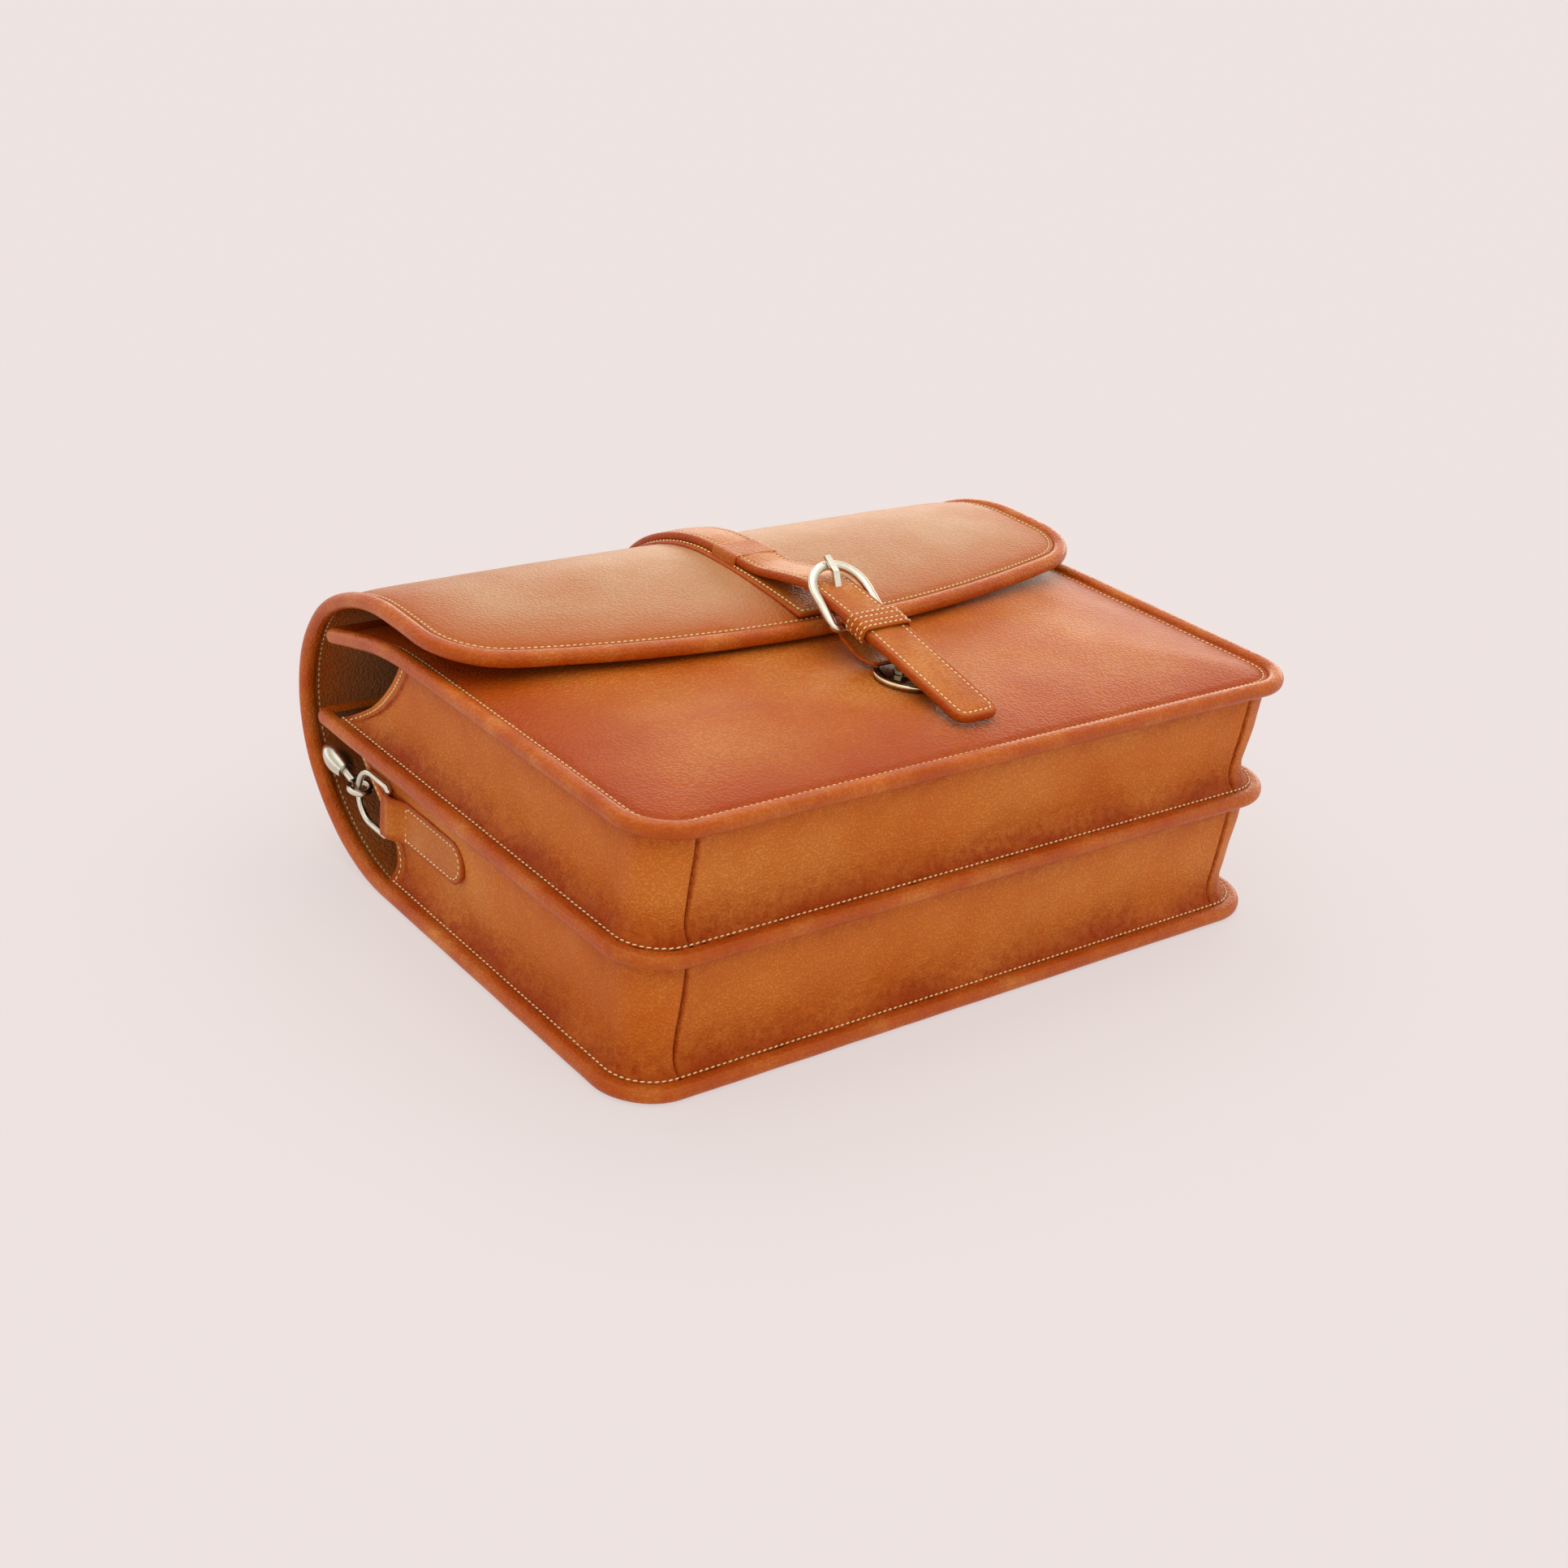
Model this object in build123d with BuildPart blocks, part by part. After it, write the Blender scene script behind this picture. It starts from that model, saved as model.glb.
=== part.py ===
from build123d import *
import math
import os

# A flap-over leather briefcase lying on its back: two gusseted compartments, a flap that folds over
# them in a wide curve, a centre belt strap with buckle and clasp, side rings and a top handle.
# Frame: +Z up from the surface the back rests on, +X across the width, +Y from the bag's bottom edge
# towards its top edge. The origin is under the middle of the whole briefcase.

# --- driving dimensions, millimetres ---
bag_width = 406.0  # over the edge rolls
panel_height = 300.0  # bottom edge to the top edge of the front and middle panels
rear_depth = 67.0  # back roll centre to middle roll centre
front_depth = 62.0  # middle roll centre to front roll centre
corner_radius = 30.0  # bottom corners of every panel, at the outside of the roll
roll_radius = 4.0  # turned edge roll

leather = 2.0  # panel and flap leather
gusset_leather = 1.8
face_depth = 1.0  # the leather's face lies this far under the top of the roll
board = 1.6  # stiffener
lining = 0.8
padding = 2.5
pocket_leather = 1.6
ply_gap = 0.1  # glue line between plies
cut_gap = 0.3  # room where the leather of two bodies meets
bore_gap = 0.2  # room round a ring in its leather loop

waist = 7.0  # how far each gusset is pulled in between its rolls
gusset_inset = 5.0  # gusset face behind the outside of the rolls
seam_from_end = 32.0  # bottom seam of each gusset, from the bag's side
rear_hem_low = 228.0  # top hem of the rear side gussets, at the back panel
rear_hem_high = 270.0  # the same, at the middle panel
front_hem_low = 282.0  # top hem of the front side gussets, at the middle panel
front_hem_high = 222.0  # the same, at the front panel
hem_sag = 9.0  # how far the hem curve dips below its chord

crown_height = 6.0  # front panel stands proud of its edge by this
crown_length = 224.0
front_top_y = 292.0  # the front panel's top edge, from the bottom edge
front_droop = 16.0  # the front panel's top edge sinks into the mouth

curve_start = 224.5  # the back leaves the floor here, from the bottom edge
low_radius = 102.0  # first stretch of the flap curve
mid_radius = 68.0  # round the top of the bag
top_radius = 119.0  # over the front edge
flap_radius = 750.0  # down the front
low_end = -38.0  # degrees where the low stretch meets the middle one
mid_end = 62.0  # degrees where the middle stretch meets the top one
fold_angle = 28.0  # degrees on the middle stretch where the flap folds
flap_edge_mid = 135.0  # free edge at the centre, from the bottom edge
flap_edge_side = 166.0  # free edge where the corner rounds begin
flap_corner = 44.0  # radius of the flap's corners

base_strap_width = 34.0
base_strap_thick = 2.5
base_strap_end = 144.5
belt_width = 26.0
belt_thick = 4.5
belt_tip = 26.0  # belt's free end, from the bottom edge
belt_tip_radius = 7.0
belt_top_angle = 44.0  # degrees on the middle stretch where both straps end
belt_lie_from = 190.0  # the belt lies on the base strap from here
belt_rise = 164.2  # belt underside at its highest point, over the flap edge
belt_rise_at = 150.0
belt_bend = 157.2  # belt underside where the tail starts down
belt_bend_at = 108.0
belt_tip_rise = 138.8  # belt underside at the tip
tail_holes = (88.0, 64.0)
tail_hole_radius = 1.5
prong_slot_length = 15.5
prong_slot_width = 4.8
prong_slot_at = 140.4
shank_room = 2.9  # depth of the channel under the belt in which the prong's shank rises

band_wall = 1.6
band_from = 205.0
band_length = 20.0
keeper_wall = 1.8
keeper_length = 14.0
keeper_at = 105.0
slide_gap = 0.3  # room round a strap that slides in a loop

bar_at = 117.0  # buckle bar, from the bottom edge
bar_thick = 3.6
frame_width = 37.0
frame_rim = 4.6
frame_length = 41.0
frame_tilt = 34.3  # degrees, curved end up
prong_width = 3.6
prong_wall = 1.8
prong_bore_gap = 0.15
tab_leather = 1.8
tab_width = 24.0
tab_bend = 12.0  # where and how widely the tab bends down from the buckle bar
shank_rise = 13.0  # the prong starts to rise this far before the frame's curved end
prong_crest = 3.0  # and has risen over the frame this far before it
prong_slant = 1.0
prong_reach = 1.3  # the prong's tip stands out past the frame
prong_play = 0.25

clasp_at = 79.0
clasp_length = 36.0
clasp_width = 33.0
clasp_plate = 1.4
clasp_rim = 2.1
clasp_rim_wall = 1.8
knob_length = 16.0
knob_width = 7.0
knob_height = 3.0
knob_post_radius = 2.6
running_gap = 0.05
tongue_thick = 1.8
tongue_play = 3.0  # tongue and rim together are this much narrower than the plate
tongue_neck = 6.0  # the tongue's neck is this much narrower than the tab
rim_cut = 14.0  # length of the cut in the clasp's rim where the tab comes in
slot_gap = 0.7
screw_radius = 1.3
screw_spread = 8.0
screw_grip = 0.5  # the screws reach this far past the panel's leather

ring_wire = 1.75
ring_inner = 24.0
ring_depth = 31.0
ring_at = 230.0
ring_height = 44.0  # centre of each D-ring above the floor
ring_tab_width = 23.0
ring_tab_end = 160.0
ring_tab_thick = 3.0
ring_stand = 196.9  # ring plane from the bag's centre

handle_span = 116.0  # between the handle's two pivots
handle_drop = 45.0  # pivot to grip centre
grip_radius = 7.0
core_radius = 4.6
handle_ring_wire = 1.9
handle_ring_width = 26.0
handle_ring_drop = 14.0
handle_tab_height = 46.0
handle_tab_width = 20.0
handle_tab_thick = 2.4
chape_width = 17.0
chape_thick = 6.0
rivet_radius = 3.2
rivet_head = 1.2
rivet_from_end = 7.0
handle_stand = 5.4  # pivot of the handle outside the edge rolls of the spine

hook_wire = 1.7
hook_eye = 5.4
hook_neck = 9.0
hook_tilt = 12.0
hook_room = 0.9  # play of the ring inside the hook's eye
gate_root, gate_tip = 120.0, 180.0  # degrees round the eye, between which the gate closes it
gate_back = 14.0  # degrees that the gate's hinge stands back from the eye's end
gate_clear = 20.0  # the same at its tip, which swings inward
gate_half = 1.2
swivel_length = 22.0
swivel_radius = 6.5
swivel_post_radius = 1.6
swivel_post_length = 10.0

# --- heights and centres worked out from them ---
half = bag_width / 2
roll = 2 * roll_radius
back_z = roll_radius
middle_z = back_z + rear_depth
front_z = middle_z + front_depth


def on_circle(centre, radius, angle):
    """The point at an angle in degrees on a circle in the side view."""
    turn = math.radians(angle)
    return centre[0] + radius * math.cos(turn), centre[1] + radius * math.sin(turn)


low_centre = (curve_start, low_radius)
mid_centre = on_circle(low_centre, low_radius - mid_radius, low_end)
top_centre = on_circle(mid_centre, mid_radius - top_radius, mid_end)
flap_centre = (top_centre[0], top_centre[1] + top_radius - flap_radius)
crest = top_centre[1] + top_radius
flap_end_angle = math.degrees(math.acos((flap_edge_mid - flap_centre[0]) / flap_radius))
spine_reach = mid_centre[0] + mid_radius

handle_loop = handle_ring_wire + bore_gap + tab_leather
handle_y = spine_reach + handle_stand
handle_z = mid_centre[1]
overall_length = handle_y + grip_radius
y_shift = -overall_length / 2


def side(x=0.0):
    """A plane seen from the side: first axis from the bag's bottom edge, second axis up."""
    return Plane(origin=(x, y_shift, 0), x_dir=(0, 1, 0), z_dir=(1, 0, 0))


def plan(height=0.0):
    """A plane seen from above: first axis across, second axis from the bag's bottom edge."""
    return Plane(origin=(0, y_shift, height), x_dir=(1, 0, 0), z_dir=(0, 0, 1))


def front_view(distance=0.0):
    """A plane facing the bag's bottom: first axis across, second axis up."""
    return Plane(origin=(0, y_shift + distance, 0), x_dir=(1, 0, 0), z_dir=(0, -1, 0))


def write(piece, label):
    """Labels a finished piece and writes it to its own file."""
    piece.part.label = label
    export_step(piece.part, f"parts/{label}.step")


os.makedirs("parts", exist_ok=True)

# stretches of the flap curve: centre, outer radius, first and last angle
degree_gap = math.degrees(cut_gap / 2 / mid_radius)
low_stretch = (low_centre, low_radius, -90.0, low_end - degree_gap)
spine_stretches = [(mid_centre, mid_radius, low_end + degree_gap, fold_angle - degree_gap)]
flap_stretches = [
    (mid_centre, mid_radius, fold_angle + degree_gap, mid_end),
    (top_centre, top_radius, mid_end, 90.0),
    (flap_centre, flap_radius, 90.0, flap_end_angle),
]
strap_stretches = [
    (mid_centre, mid_radius, belt_top_angle, mid_end),
    (top_centre, top_radius, mid_end, 90.0),
    (flap_centre, flap_radius, 90.0, math.degrees(math.acos((base_strap_end - flap_centre[0]) / flap_radius))),
]


def curved_layer(stretches, outer, inner, x_low, x_high, flat_from=None):
    """A sheet along the flap curve, between two depths below its outer face."""
    with BuildPart() as layer:
        with BuildSketch(side(x_low)):
            with BuildLine():
                if flat_from is not None:
                    Line((flat_from, outer), (curve_start, outer))
                    Line((flat_from, inner), (curve_start, inner))
                    Line((flat_from, outer), (flat_from, inner))
                for centre, radius, first, last in stretches:
                    CenterArc(centre, radius - outer, first, last - first)
                    CenterArc(centre, radius - inner, first, last - first)
                centre, radius, first, last = stretches[-1]
                Line(on_circle(centre, radius - outer, last), on_circle(centre, radius - inner, last))
                if flat_from is None:
                    centre, radius, first, last = stretches[0]
                    Line(on_circle(centre, radius - outer, first), on_circle(centre, radius - inner, first))
            make_face()
        extrude(amount=x_high - x_low)
    return layer


def panel_outline(inset, top):
    """The rounded outline of a panel, drawn on the sketch in use."""
    with BuildSketch(Plane.XY, mode=Mode.PRIVATE) as outline:
        with Locations((0, (inset + top) / 2)):
            Rectangle(bag_width - 2 * inset, top - inset)
        fillet(outline.vertices().group_by(Axis.Y)[0], corner_radius - inset)
    return outline.sketch


def keep_inside(outline_sketch):
    """Keeps only what lies over a plan outline."""
    extrude(plan(-50) * outline_sketch, amount=400, mode=Mode.INTERSECT)


# --- back panel: flat on the floor, then up the first stretch of the flap curve ---
panel_inset = roll + ply_gap
curve_top = on_circle(low_centre, low_radius, low_end)[0] + roll


def back_layer(outer, inner, end_angle):
    stretch = (low_centre, low_radius, -90.0, end_angle)
    inside = half - panel_inset
    with BuildPart() as layer:
        add(curved_layer([stretch], outer, inner, -inside, inside, flat_from=panel_inset).part)
        keep_inside(panel_outline(panel_inset, curve_top))
    return layer


back_panel = back_layer(face_depth, face_depth + leather, low_stretch[3])
write(back_panel, "back_panel")

board_low = face_depth + leather + ply_gap
with BuildPart() as back_board:
    with BuildSketch(plan(board_low)):
        add(panel_outline(panel_inset + ply_gap, curve_start))
    extrude(amount=board)
write(back_board, "back_board")

with BuildPart() as back_lining:
    with BuildSketch(plan(board_low + board + ply_gap)):
        add(panel_outline(panel_inset + 4 * ply_gap, curve_start))
    extrude(amount=lining)
write(back_lining, "back_lining")


def roll_path(z, y_top):
    """The U-shaped centre line of an edge roll."""
    x = half - roll_radius
    low = y_shift + roll_radius
    high = y_shift + y_top
    return [(-x, high, z), (-x, low, z), (x, low, z), (x, high, z)]


with BuildPart() as back_roll:
    with BuildLine() as back_route:
        FilletPolyline(*roll_path(back_z, curve_start), radius=corner_radius - roll_radius)
    with BuildSketch(Plane(origin=back_route.line @ 0, z_dir=back_route.line % 0)):
        Circle(roll_radius)
    sweep()
    for x_low in (-half, half - roll):
        add(curved_layer([low_stretch], 0.0, roll, x_low, x_low + roll).part)
write(back_roll, "back_edge_roll")

# --- middle divider ---
middle_leather = 4.0
with BuildPart() as middle_panel:
    with BuildSketch(plan(middle_z - middle_leather / 2)):
        add(panel_outline(panel_inset, panel_height))
    extrude(amount=middle_leather)
write(middle_panel, "middle_panel")

with BuildPart() as middle_roll:
    with BuildLine() as middle_route:
        FilletPolyline(*roll_path(middle_z, panel_height), radius=corner_radius - roll_radius)
    with BuildSketch(Plane(origin=middle_route.line @ 0, z_dir=middle_route.line % 0)):
        Circle(roll_radius)
    sweep()
write(middle_roll, "middle_edge_roll")

pocket_height = 190.0
pocket_width = 300.0
pocket_top = 285.0
with BuildPart() as inner_pocket:
    with BuildSketch(plan(middle_z + middle_leather / 2 + ply_gap)):
        with Locations((0, pocket_top - pocket_height / 2)):
            RectangleRounded(pocket_width, pocket_height, 10)
    extrude(amount=pocket_leather)
write(inner_pocket, "inner_pocket")


# --- gussets: a wall round three sides, pulled in between its rolls ---
def gusset_block(z_low, z_high, inset, top):
    """The solid that a gusset face encloses."""
    with BuildPart() as block:
        for height, pull in ((z_low, 0.0), ((z_low + z_high) / 2, waist), (z_high, 0.0)):
            with BuildSketch(plan(height)):
                add(panel_outline(inset + pull, top))
        loft()
    return block


def gusset_wall(z_low, z_high, inset, thick, hem):
    """A gusset wall, trimmed along its hem: hem holds its low, sag and high points."""
    with BuildPart() as wall:
        add(gusset_block(z_low, z_high, inset, panel_height).part)
        add(gusset_block(z_low, z_high, inset + thick, panel_height + 40).part, mode=Mode.SUBTRACT)
        with BuildSketch(side(-half)):
            with BuildLine():
                ThreePointArc(*hem)
                Polyline(hem[-1], (panel_height + 60, hem[-1][1]), (panel_height + 60, hem[0][1]), hem[0])
            make_face()
        extrude(amount=bag_width, mode=Mode.SUBTRACT)
    return wall


def gusset(name, z_low, z_high, hem_low, hem_high):
    """Writes a gusset's left, bottom and right pieces and its lining, and returns its outer block."""
    lean = 1 if hem_high > hem_low else -1
    hem = (
        (hem_low, z_low - 1),
        ((hem_low + hem_high) / 2 - hem_sag, (z_low + z_high) / 2 + lean * hem_sag / 4),
        (hem_high, z_high + 1),
    )
    wall = gusset_wall(z_low, z_high, gusset_inset, gusset_leather, hem)
    seam = half - seam_from_end
    for label, x_low, x_high in (
        ("left", -half, -seam - ply_gap),
        ("bottom", -seam, seam),
        ("right", seam + ply_gap, half),
    ):
        with BuildPart() as piece:
            add(wall.part)
            with BuildSketch(plan(z_low)):
                with Locations(((x_low + x_high) / 2, panel_height / 2)):
                    Rectangle(x_high - x_low, panel_height + 40)
            extrude(amount=z_high - z_low, mode=Mode.INTERSECT)
        write(piece, f"{name}_gusset_{label}")
    lining_inset = gusset_inset + gusset_leather + ply_gap
    inner = gusset_wall(z_low, z_high, lining_inset, lining, hem)
    write(inner, f"{name}_gusset_lining")


rear_low = back_z + roll_radius + ply_gap
rear_high = middle_z - roll_radius - ply_gap
front_low = middle_z + roll_radius + ply_gap
front_high = front_z - roll_radius - ply_gap
gusset("rear", rear_low, rear_high, rear_hem_low, rear_hem_high)
gusset("front", front_low, front_high, front_hem_low, front_hem_high)
rear_block = gusset_block(rear_low, rear_high, gusset_inset, panel_height)

# --- front panel: crowned, with its top edge sinking into the mouth ---
trim_room = 1.0  # the crowned profile starts this far outside the outline that trims it
crown_from = panel_inset - trim_room
crown_edge = front_z + 1.5
crown_to = crown_from + crown_length
front_top = crown_edge - front_droop


def crowned_layer(inset, depth_top, depth_bottom, top):
    """A ply of the front panel, between two depths below its crowned face."""
    with BuildPart() as layer:
        with BuildSketch(side(-half)):
            with BuildLine():
                for depth in (depth_top, depth_bottom):
                    edge = crown_edge - depth
                    ThreePointArc(
                        (crown_from, edge),
                        (crown_from + crown_length / 2, edge + crown_height),
                        (crown_to, edge),
                    )
                    Line((crown_to, edge), (front_top_y, front_top - depth))
                Line((crown_from, crown_edge - depth_top), (crown_from, crown_edge - depth_bottom))
                Line((front_top_y, front_top - depth_top), (front_top_y, front_top - depth_bottom))
            make_face()
        extrude(amount=bag_width)
        keep_inside(panel_outline(inset, top))
    return layer


def crown_at(y):
    """Height of the front panel's face at a distance from the bottom edge."""
    chord = crown_length / 2
    radius = (chord**2 + crown_height**2) / (2 * crown_height)
    rise = math.sqrt(radius**2 - (y - crown_from - chord) ** 2) - (radius - crown_height)
    return crown_edge + rise


front_panel = crowned_layer(panel_inset, 0.0, leather, front_top_y)
write(front_panel, "front_panel")
pad_top = leather + ply_gap
front_padding = crowned_layer(panel_inset + 6, pad_top, pad_top + padding, front_top_y - 6)
write(front_padding, "front_padding")
board_top = pad_top + padding + ply_gap
front_board = crowned_layer(panel_inset + 4, board_top, board_top + board, front_top_y - 4)
write(front_board, "front_board")
lining_top = board_top + board + ply_gap
front_lining = crowned_layer(panel_inset + 2, lining_top, lining_top + lining, front_top_y - 2)
write(front_lining, "front_lining")

side_x = half - roll_radius
front_end = (front_top_y, front_z - front_droop)
with BuildPart() as front_roll:
    with BuildLine() as front_route:
        FilletPolyline(
            (-side_x, y_shift + front_end[0], front_end[1]),
            (-side_x, y_shift + crown_to, front_z),
            (-side_x, y_shift + roll_radius, front_z),
            (side_x, y_shift + roll_radius, front_z),
            (side_x, y_shift + crown_to, front_z),
            (side_x, y_shift + front_end[0], front_end[1]),
            radius=[120, corner_radius - roll_radius, corner_radius - roll_radius, 120],
        )
    with BuildSketch(Plane(origin=front_route.line @ 0, z_dir=front_route.line % 0)):
        Circle(roll_radius)
    sweep()
write(front_roll, "front_edge_roll")

# --- spine: the stretch of leather over the top of the bag ---
inside = half - panel_inset
write(curved_layer(spine_stretches, face_depth, face_depth + leather, -inside, inside), "spine_leather")
spine_lining_top = face_depth + leather + ply_gap
write(
    curved_layer(spine_stretches, spine_lining_top, spine_lining_top + lining, -inside, inside),
    "spine_lining",
)
write(curved_layer(spine_stretches, 0.0, roll, -half, -half + roll), "spine_edge_roll_left")
write(curved_layer(spine_stretches, 0.0, roll, half - roll, half), "spine_edge_roll_right")


# --- flap ---
def flap_outline(inset):
    """The flap in plan: straight sides, round corners and a gently bowed free edge."""
    side_edge = half - inset
    with BuildSketch(Plane.XY, mode=Mode.PRIVATE) as outline:
        with BuildLine():
            bow = ThreePointArc(
                (-side_edge, flap_edge_side + inset),
                (0, flap_edge_mid + inset),
                (side_edge, flap_edge_side + inset),
            )
            Polyline(bow @ 1, (side_edge, panel_height + 60), (-side_edge, panel_height + 60), bow @ 0)
        make_face()
        fillet(outline.vertices().group_by(Axis.Y)[0], flap_corner - inset)
    return outline.sketch


flap_start = flap_stretches[:2]
flap_full = flap_start + [(flap_centre, flap_radius, 90.0, flap_end_angle + 1)]

with BuildPart() as flap_leather:
    add(curved_layer(flap_full, face_depth, face_depth + leather, -inside, inside).part)
    keep_inside(flap_outline(panel_inset))
write(flap_leather, "flap_leather")

with BuildPart() as flap_lining:
    add(curved_layer(flap_full, spine_lining_top, spine_lining_top + lining, -inside, inside).part)
    keep_inside(flap_outline(panel_inset + ply_gap))
write(flap_lining, "flap_lining")

with BuildPart() as flap_roll:
    add(curved_layer(flap_full, 0.0, roll, -half, half).part)
    keep_inside(flap_outline(0.0))
    with BuildSketch(plan(-50)):
        add(flap_outline(roll))
    extrude(amount=400, mode=Mode.SUBTRACT)
write(flap_roll, "flap_edge_roll")

# --- base strap sewn to the flap, and the belt strap that lies on it ---
strap_low = face_depth - ply_gap
base_top = strap_low - base_strap_thick
base_strap = curved_layer(strap_stretches, base_top, strap_low, -base_strap_width / 2, base_strap_width / 2)
write(base_strap, "base_strap")

belt_depth = base_top - ply_gap
belt_lie = crest - belt_depth


def belt_sheet(thick, width):
    """A sheet of a thickness and width that follows the underside of the belt."""
    with BuildPart() as sheet:
        with BuildSketch(side(-width / 2)):
            with BuildLine():
                FilletPolyline(
                    (belt_tip, belt_tip_rise),
                    (belt_bend_at, belt_bend),
                    (belt_rise_at, belt_rise),
                    (belt_lie_from, belt_lie),
                    (top_centre[0], belt_lie),
                    radius=[60, 40, 60],
                )
                CenterArc(top_centre, top_radius - belt_depth, mid_end, 90.0 - mid_end)
                CenterArc(mid_centre, mid_radius - belt_depth, belt_top_angle, mid_end - belt_top_angle)
                offset(amount=thick, side=Side.LEFT)
            make_face()
        extrude(amount=width)
    return sheet


with BuildPart() as shank_channel:
    add(belt_sheet(shank_room, prong_slot_width).part)
    with BuildSketch(plan(100)):
        with Locations((0, (bar_at + prong_slot_at) / 2)):
            Rectangle(prong_slot_width, prong_slot_at - bar_at)
    extrude(amount=120, mode=Mode.INTERSECT)

with BuildPart() as belt_strap:
    add(belt_sheet(belt_thick, belt_width).part)
    with BuildSketch(plan(100)):
        with BuildSketch(Plane.XY, mode=Mode.PRIVATE) as belt_outline:
            with Locations((0, (belt_tip + panel_height) / 2)):
                Rectangle(belt_width, panel_height - belt_tip)
            fillet(belt_outline.vertices().group_by(Axis.Y)[0], belt_tip_radius)
        add(belt_outline.sketch)
    extrude(amount=120, mode=Mode.INTERSECT)
    with BuildSketch(plan(100)):
        with Locations(*[(0, y) for y in tail_holes]):
            Circle(tail_hole_radius)
        with Locations((0, prong_slot_at)):
            SlotOverall(prong_slot_length, prong_slot_width, rotation=90)
    extrude(amount=120, mode=Mode.SUBTRACT)
    add(shank_channel.part, mode=Mode.SUBTRACT)
write(belt_strap, "belt_strap")

band_half = belt_width / 2 + ply_gap + band_wall
band_top = belt_lie + belt_thick + ply_gap + band_wall
with BuildPart() as bridge_band:
    with BuildSketch(front_view(band_from)):
        with Locations((0, (belt_lie + band_top) / 2)):
            Rectangle(2 * band_half, band_top - belt_lie)
        with Locations((0, belt_lie + (belt_thick + ply_gap) / 2)):
            Rectangle(belt_width + 2 * ply_gap, belt_thick + ply_gap, mode=Mode.SUBTRACT)
    extrude(amount=-band_length)
write(bridge_band, "bridge_band")

# --- keeper: a loop that slides along the belt's tail ---
tail_slope = math.degrees(math.atan2(belt_bend - belt_tip_rise, belt_bend_at - belt_tip))
tail_direction = (0.0, -math.cos(math.radians(tail_slope)), -math.sin(math.radians(tail_slope)))
keeper_z = belt_bend - (belt_bend_at - keeper_at) * math.tan(math.radians(tail_slope))
keeper_plane = Plane(
    origin=(0, y_shift + keeper_at, keeper_z),
    x_dir=(1, 0, 0),
    z_dir=tail_direction,
)
with BuildPart() as strap_keeper:
    with BuildSketch(keeper_plane):
        loop_high = belt_thick + 2 * slide_gap
        with Locations((0, belt_thick / 2)):
            RectangleRounded(
                belt_width + 2 * (slide_gap + keeper_wall), loop_high + 2 * keeper_wall, keeper_wall
            )
            Rectangle(belt_width + 2 * slide_gap, loop_high, mode=Mode.SUBTRACT)
    extrude(amount=keeper_length / 2, both=True)
write(strap_keeper, "strap_keeper")

# --- buckle ---
bore_radius = bar_thick / 2 * math.sqrt(2) + prong_bore_gap
belt_slope = (belt_rise - belt_bend) / (belt_rise_at - belt_bend_at)
bar_z = belt_bend + (bar_at - belt_bend_at) * belt_slope - slide_gap - tab_leather - bore_radius
tilt = math.radians(frame_tilt)
frame_plane = Plane(
    origin=(0, y_shift + bar_at, bar_z),
    x_dir=(1, 0, 0),
    z_dir=(0, -math.sin(tilt), math.cos(tilt)),
)
frame_half = frame_width / 2
with BuildPart() as buckle_frame:
    with BuildSketch(frame_plane):
        for grow, mode in ((0.0, Mode.ADD), (frame_rim, Mode.SUBTRACT)):
            edge = frame_half - grow
            foot = -bar_thick / 2 if grow == 0.0 else bar_thick / 2
            shoulder = frame_length - frame_half - bar_thick / 2
            with BuildSketch(Plane.XY, mode=Mode.PRIVATE) as horseshoe:
                with BuildLine():
                    Polyline((-edge, shoulder), (-edge, foot), (edge, foot), (edge, shoulder))
                    ThreePointArc((edge, shoulder), (0, shoulder + edge), (-edge, shoulder))
                make_face()
                fillet(horseshoe.vertices().group_by(Axis.Y)[0], 2.0 if grow else 3.0)
            add(horseshoe.sketch, mode=mode)
    extrude(amount=bar_thick / 2, both=True)
write(buckle_frame, "buckle_frame")

prong_eye = bore_radius + prong_wall
rim_from = frame_length - bar_thick / 2 - frame_rim
prong_over = bar_thick / 2 + prong_play
prong_plane = Plane(
    origin=(-prong_width / 2, y_shift + bar_at, bar_z),
    x_dir=(0, math.cos(tilt), math.sin(tilt)),
    z_dir=(1, 0, 0),
)
with BuildPart() as buckle_prong:
    with BuildSketch(prong_plane):
        Circle(prong_eye)
        with BuildLine():
            Polyline(
                (0, -prong_eye),
                (rim_from - shank_rise, -prong_eye),
                (rim_from - prong_crest, prong_over),
                (rim_from + frame_rim + prong_reach, prong_over),
                (rim_from + frame_rim + prong_reach, prong_over + prong_wall),
                (rim_from - prong_crest - prong_slant, prong_over + prong_wall),
                (rim_from - shank_rise - prong_slant, -bore_radius),
                (0, -bore_radius),
                (0, -prong_eye),
            )
        make_face()
        Circle(bore_radius, mode=Mode.SUBTRACT)
    extrude(amount=prong_width)
write(buckle_prong, "buckle_prong")

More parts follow.
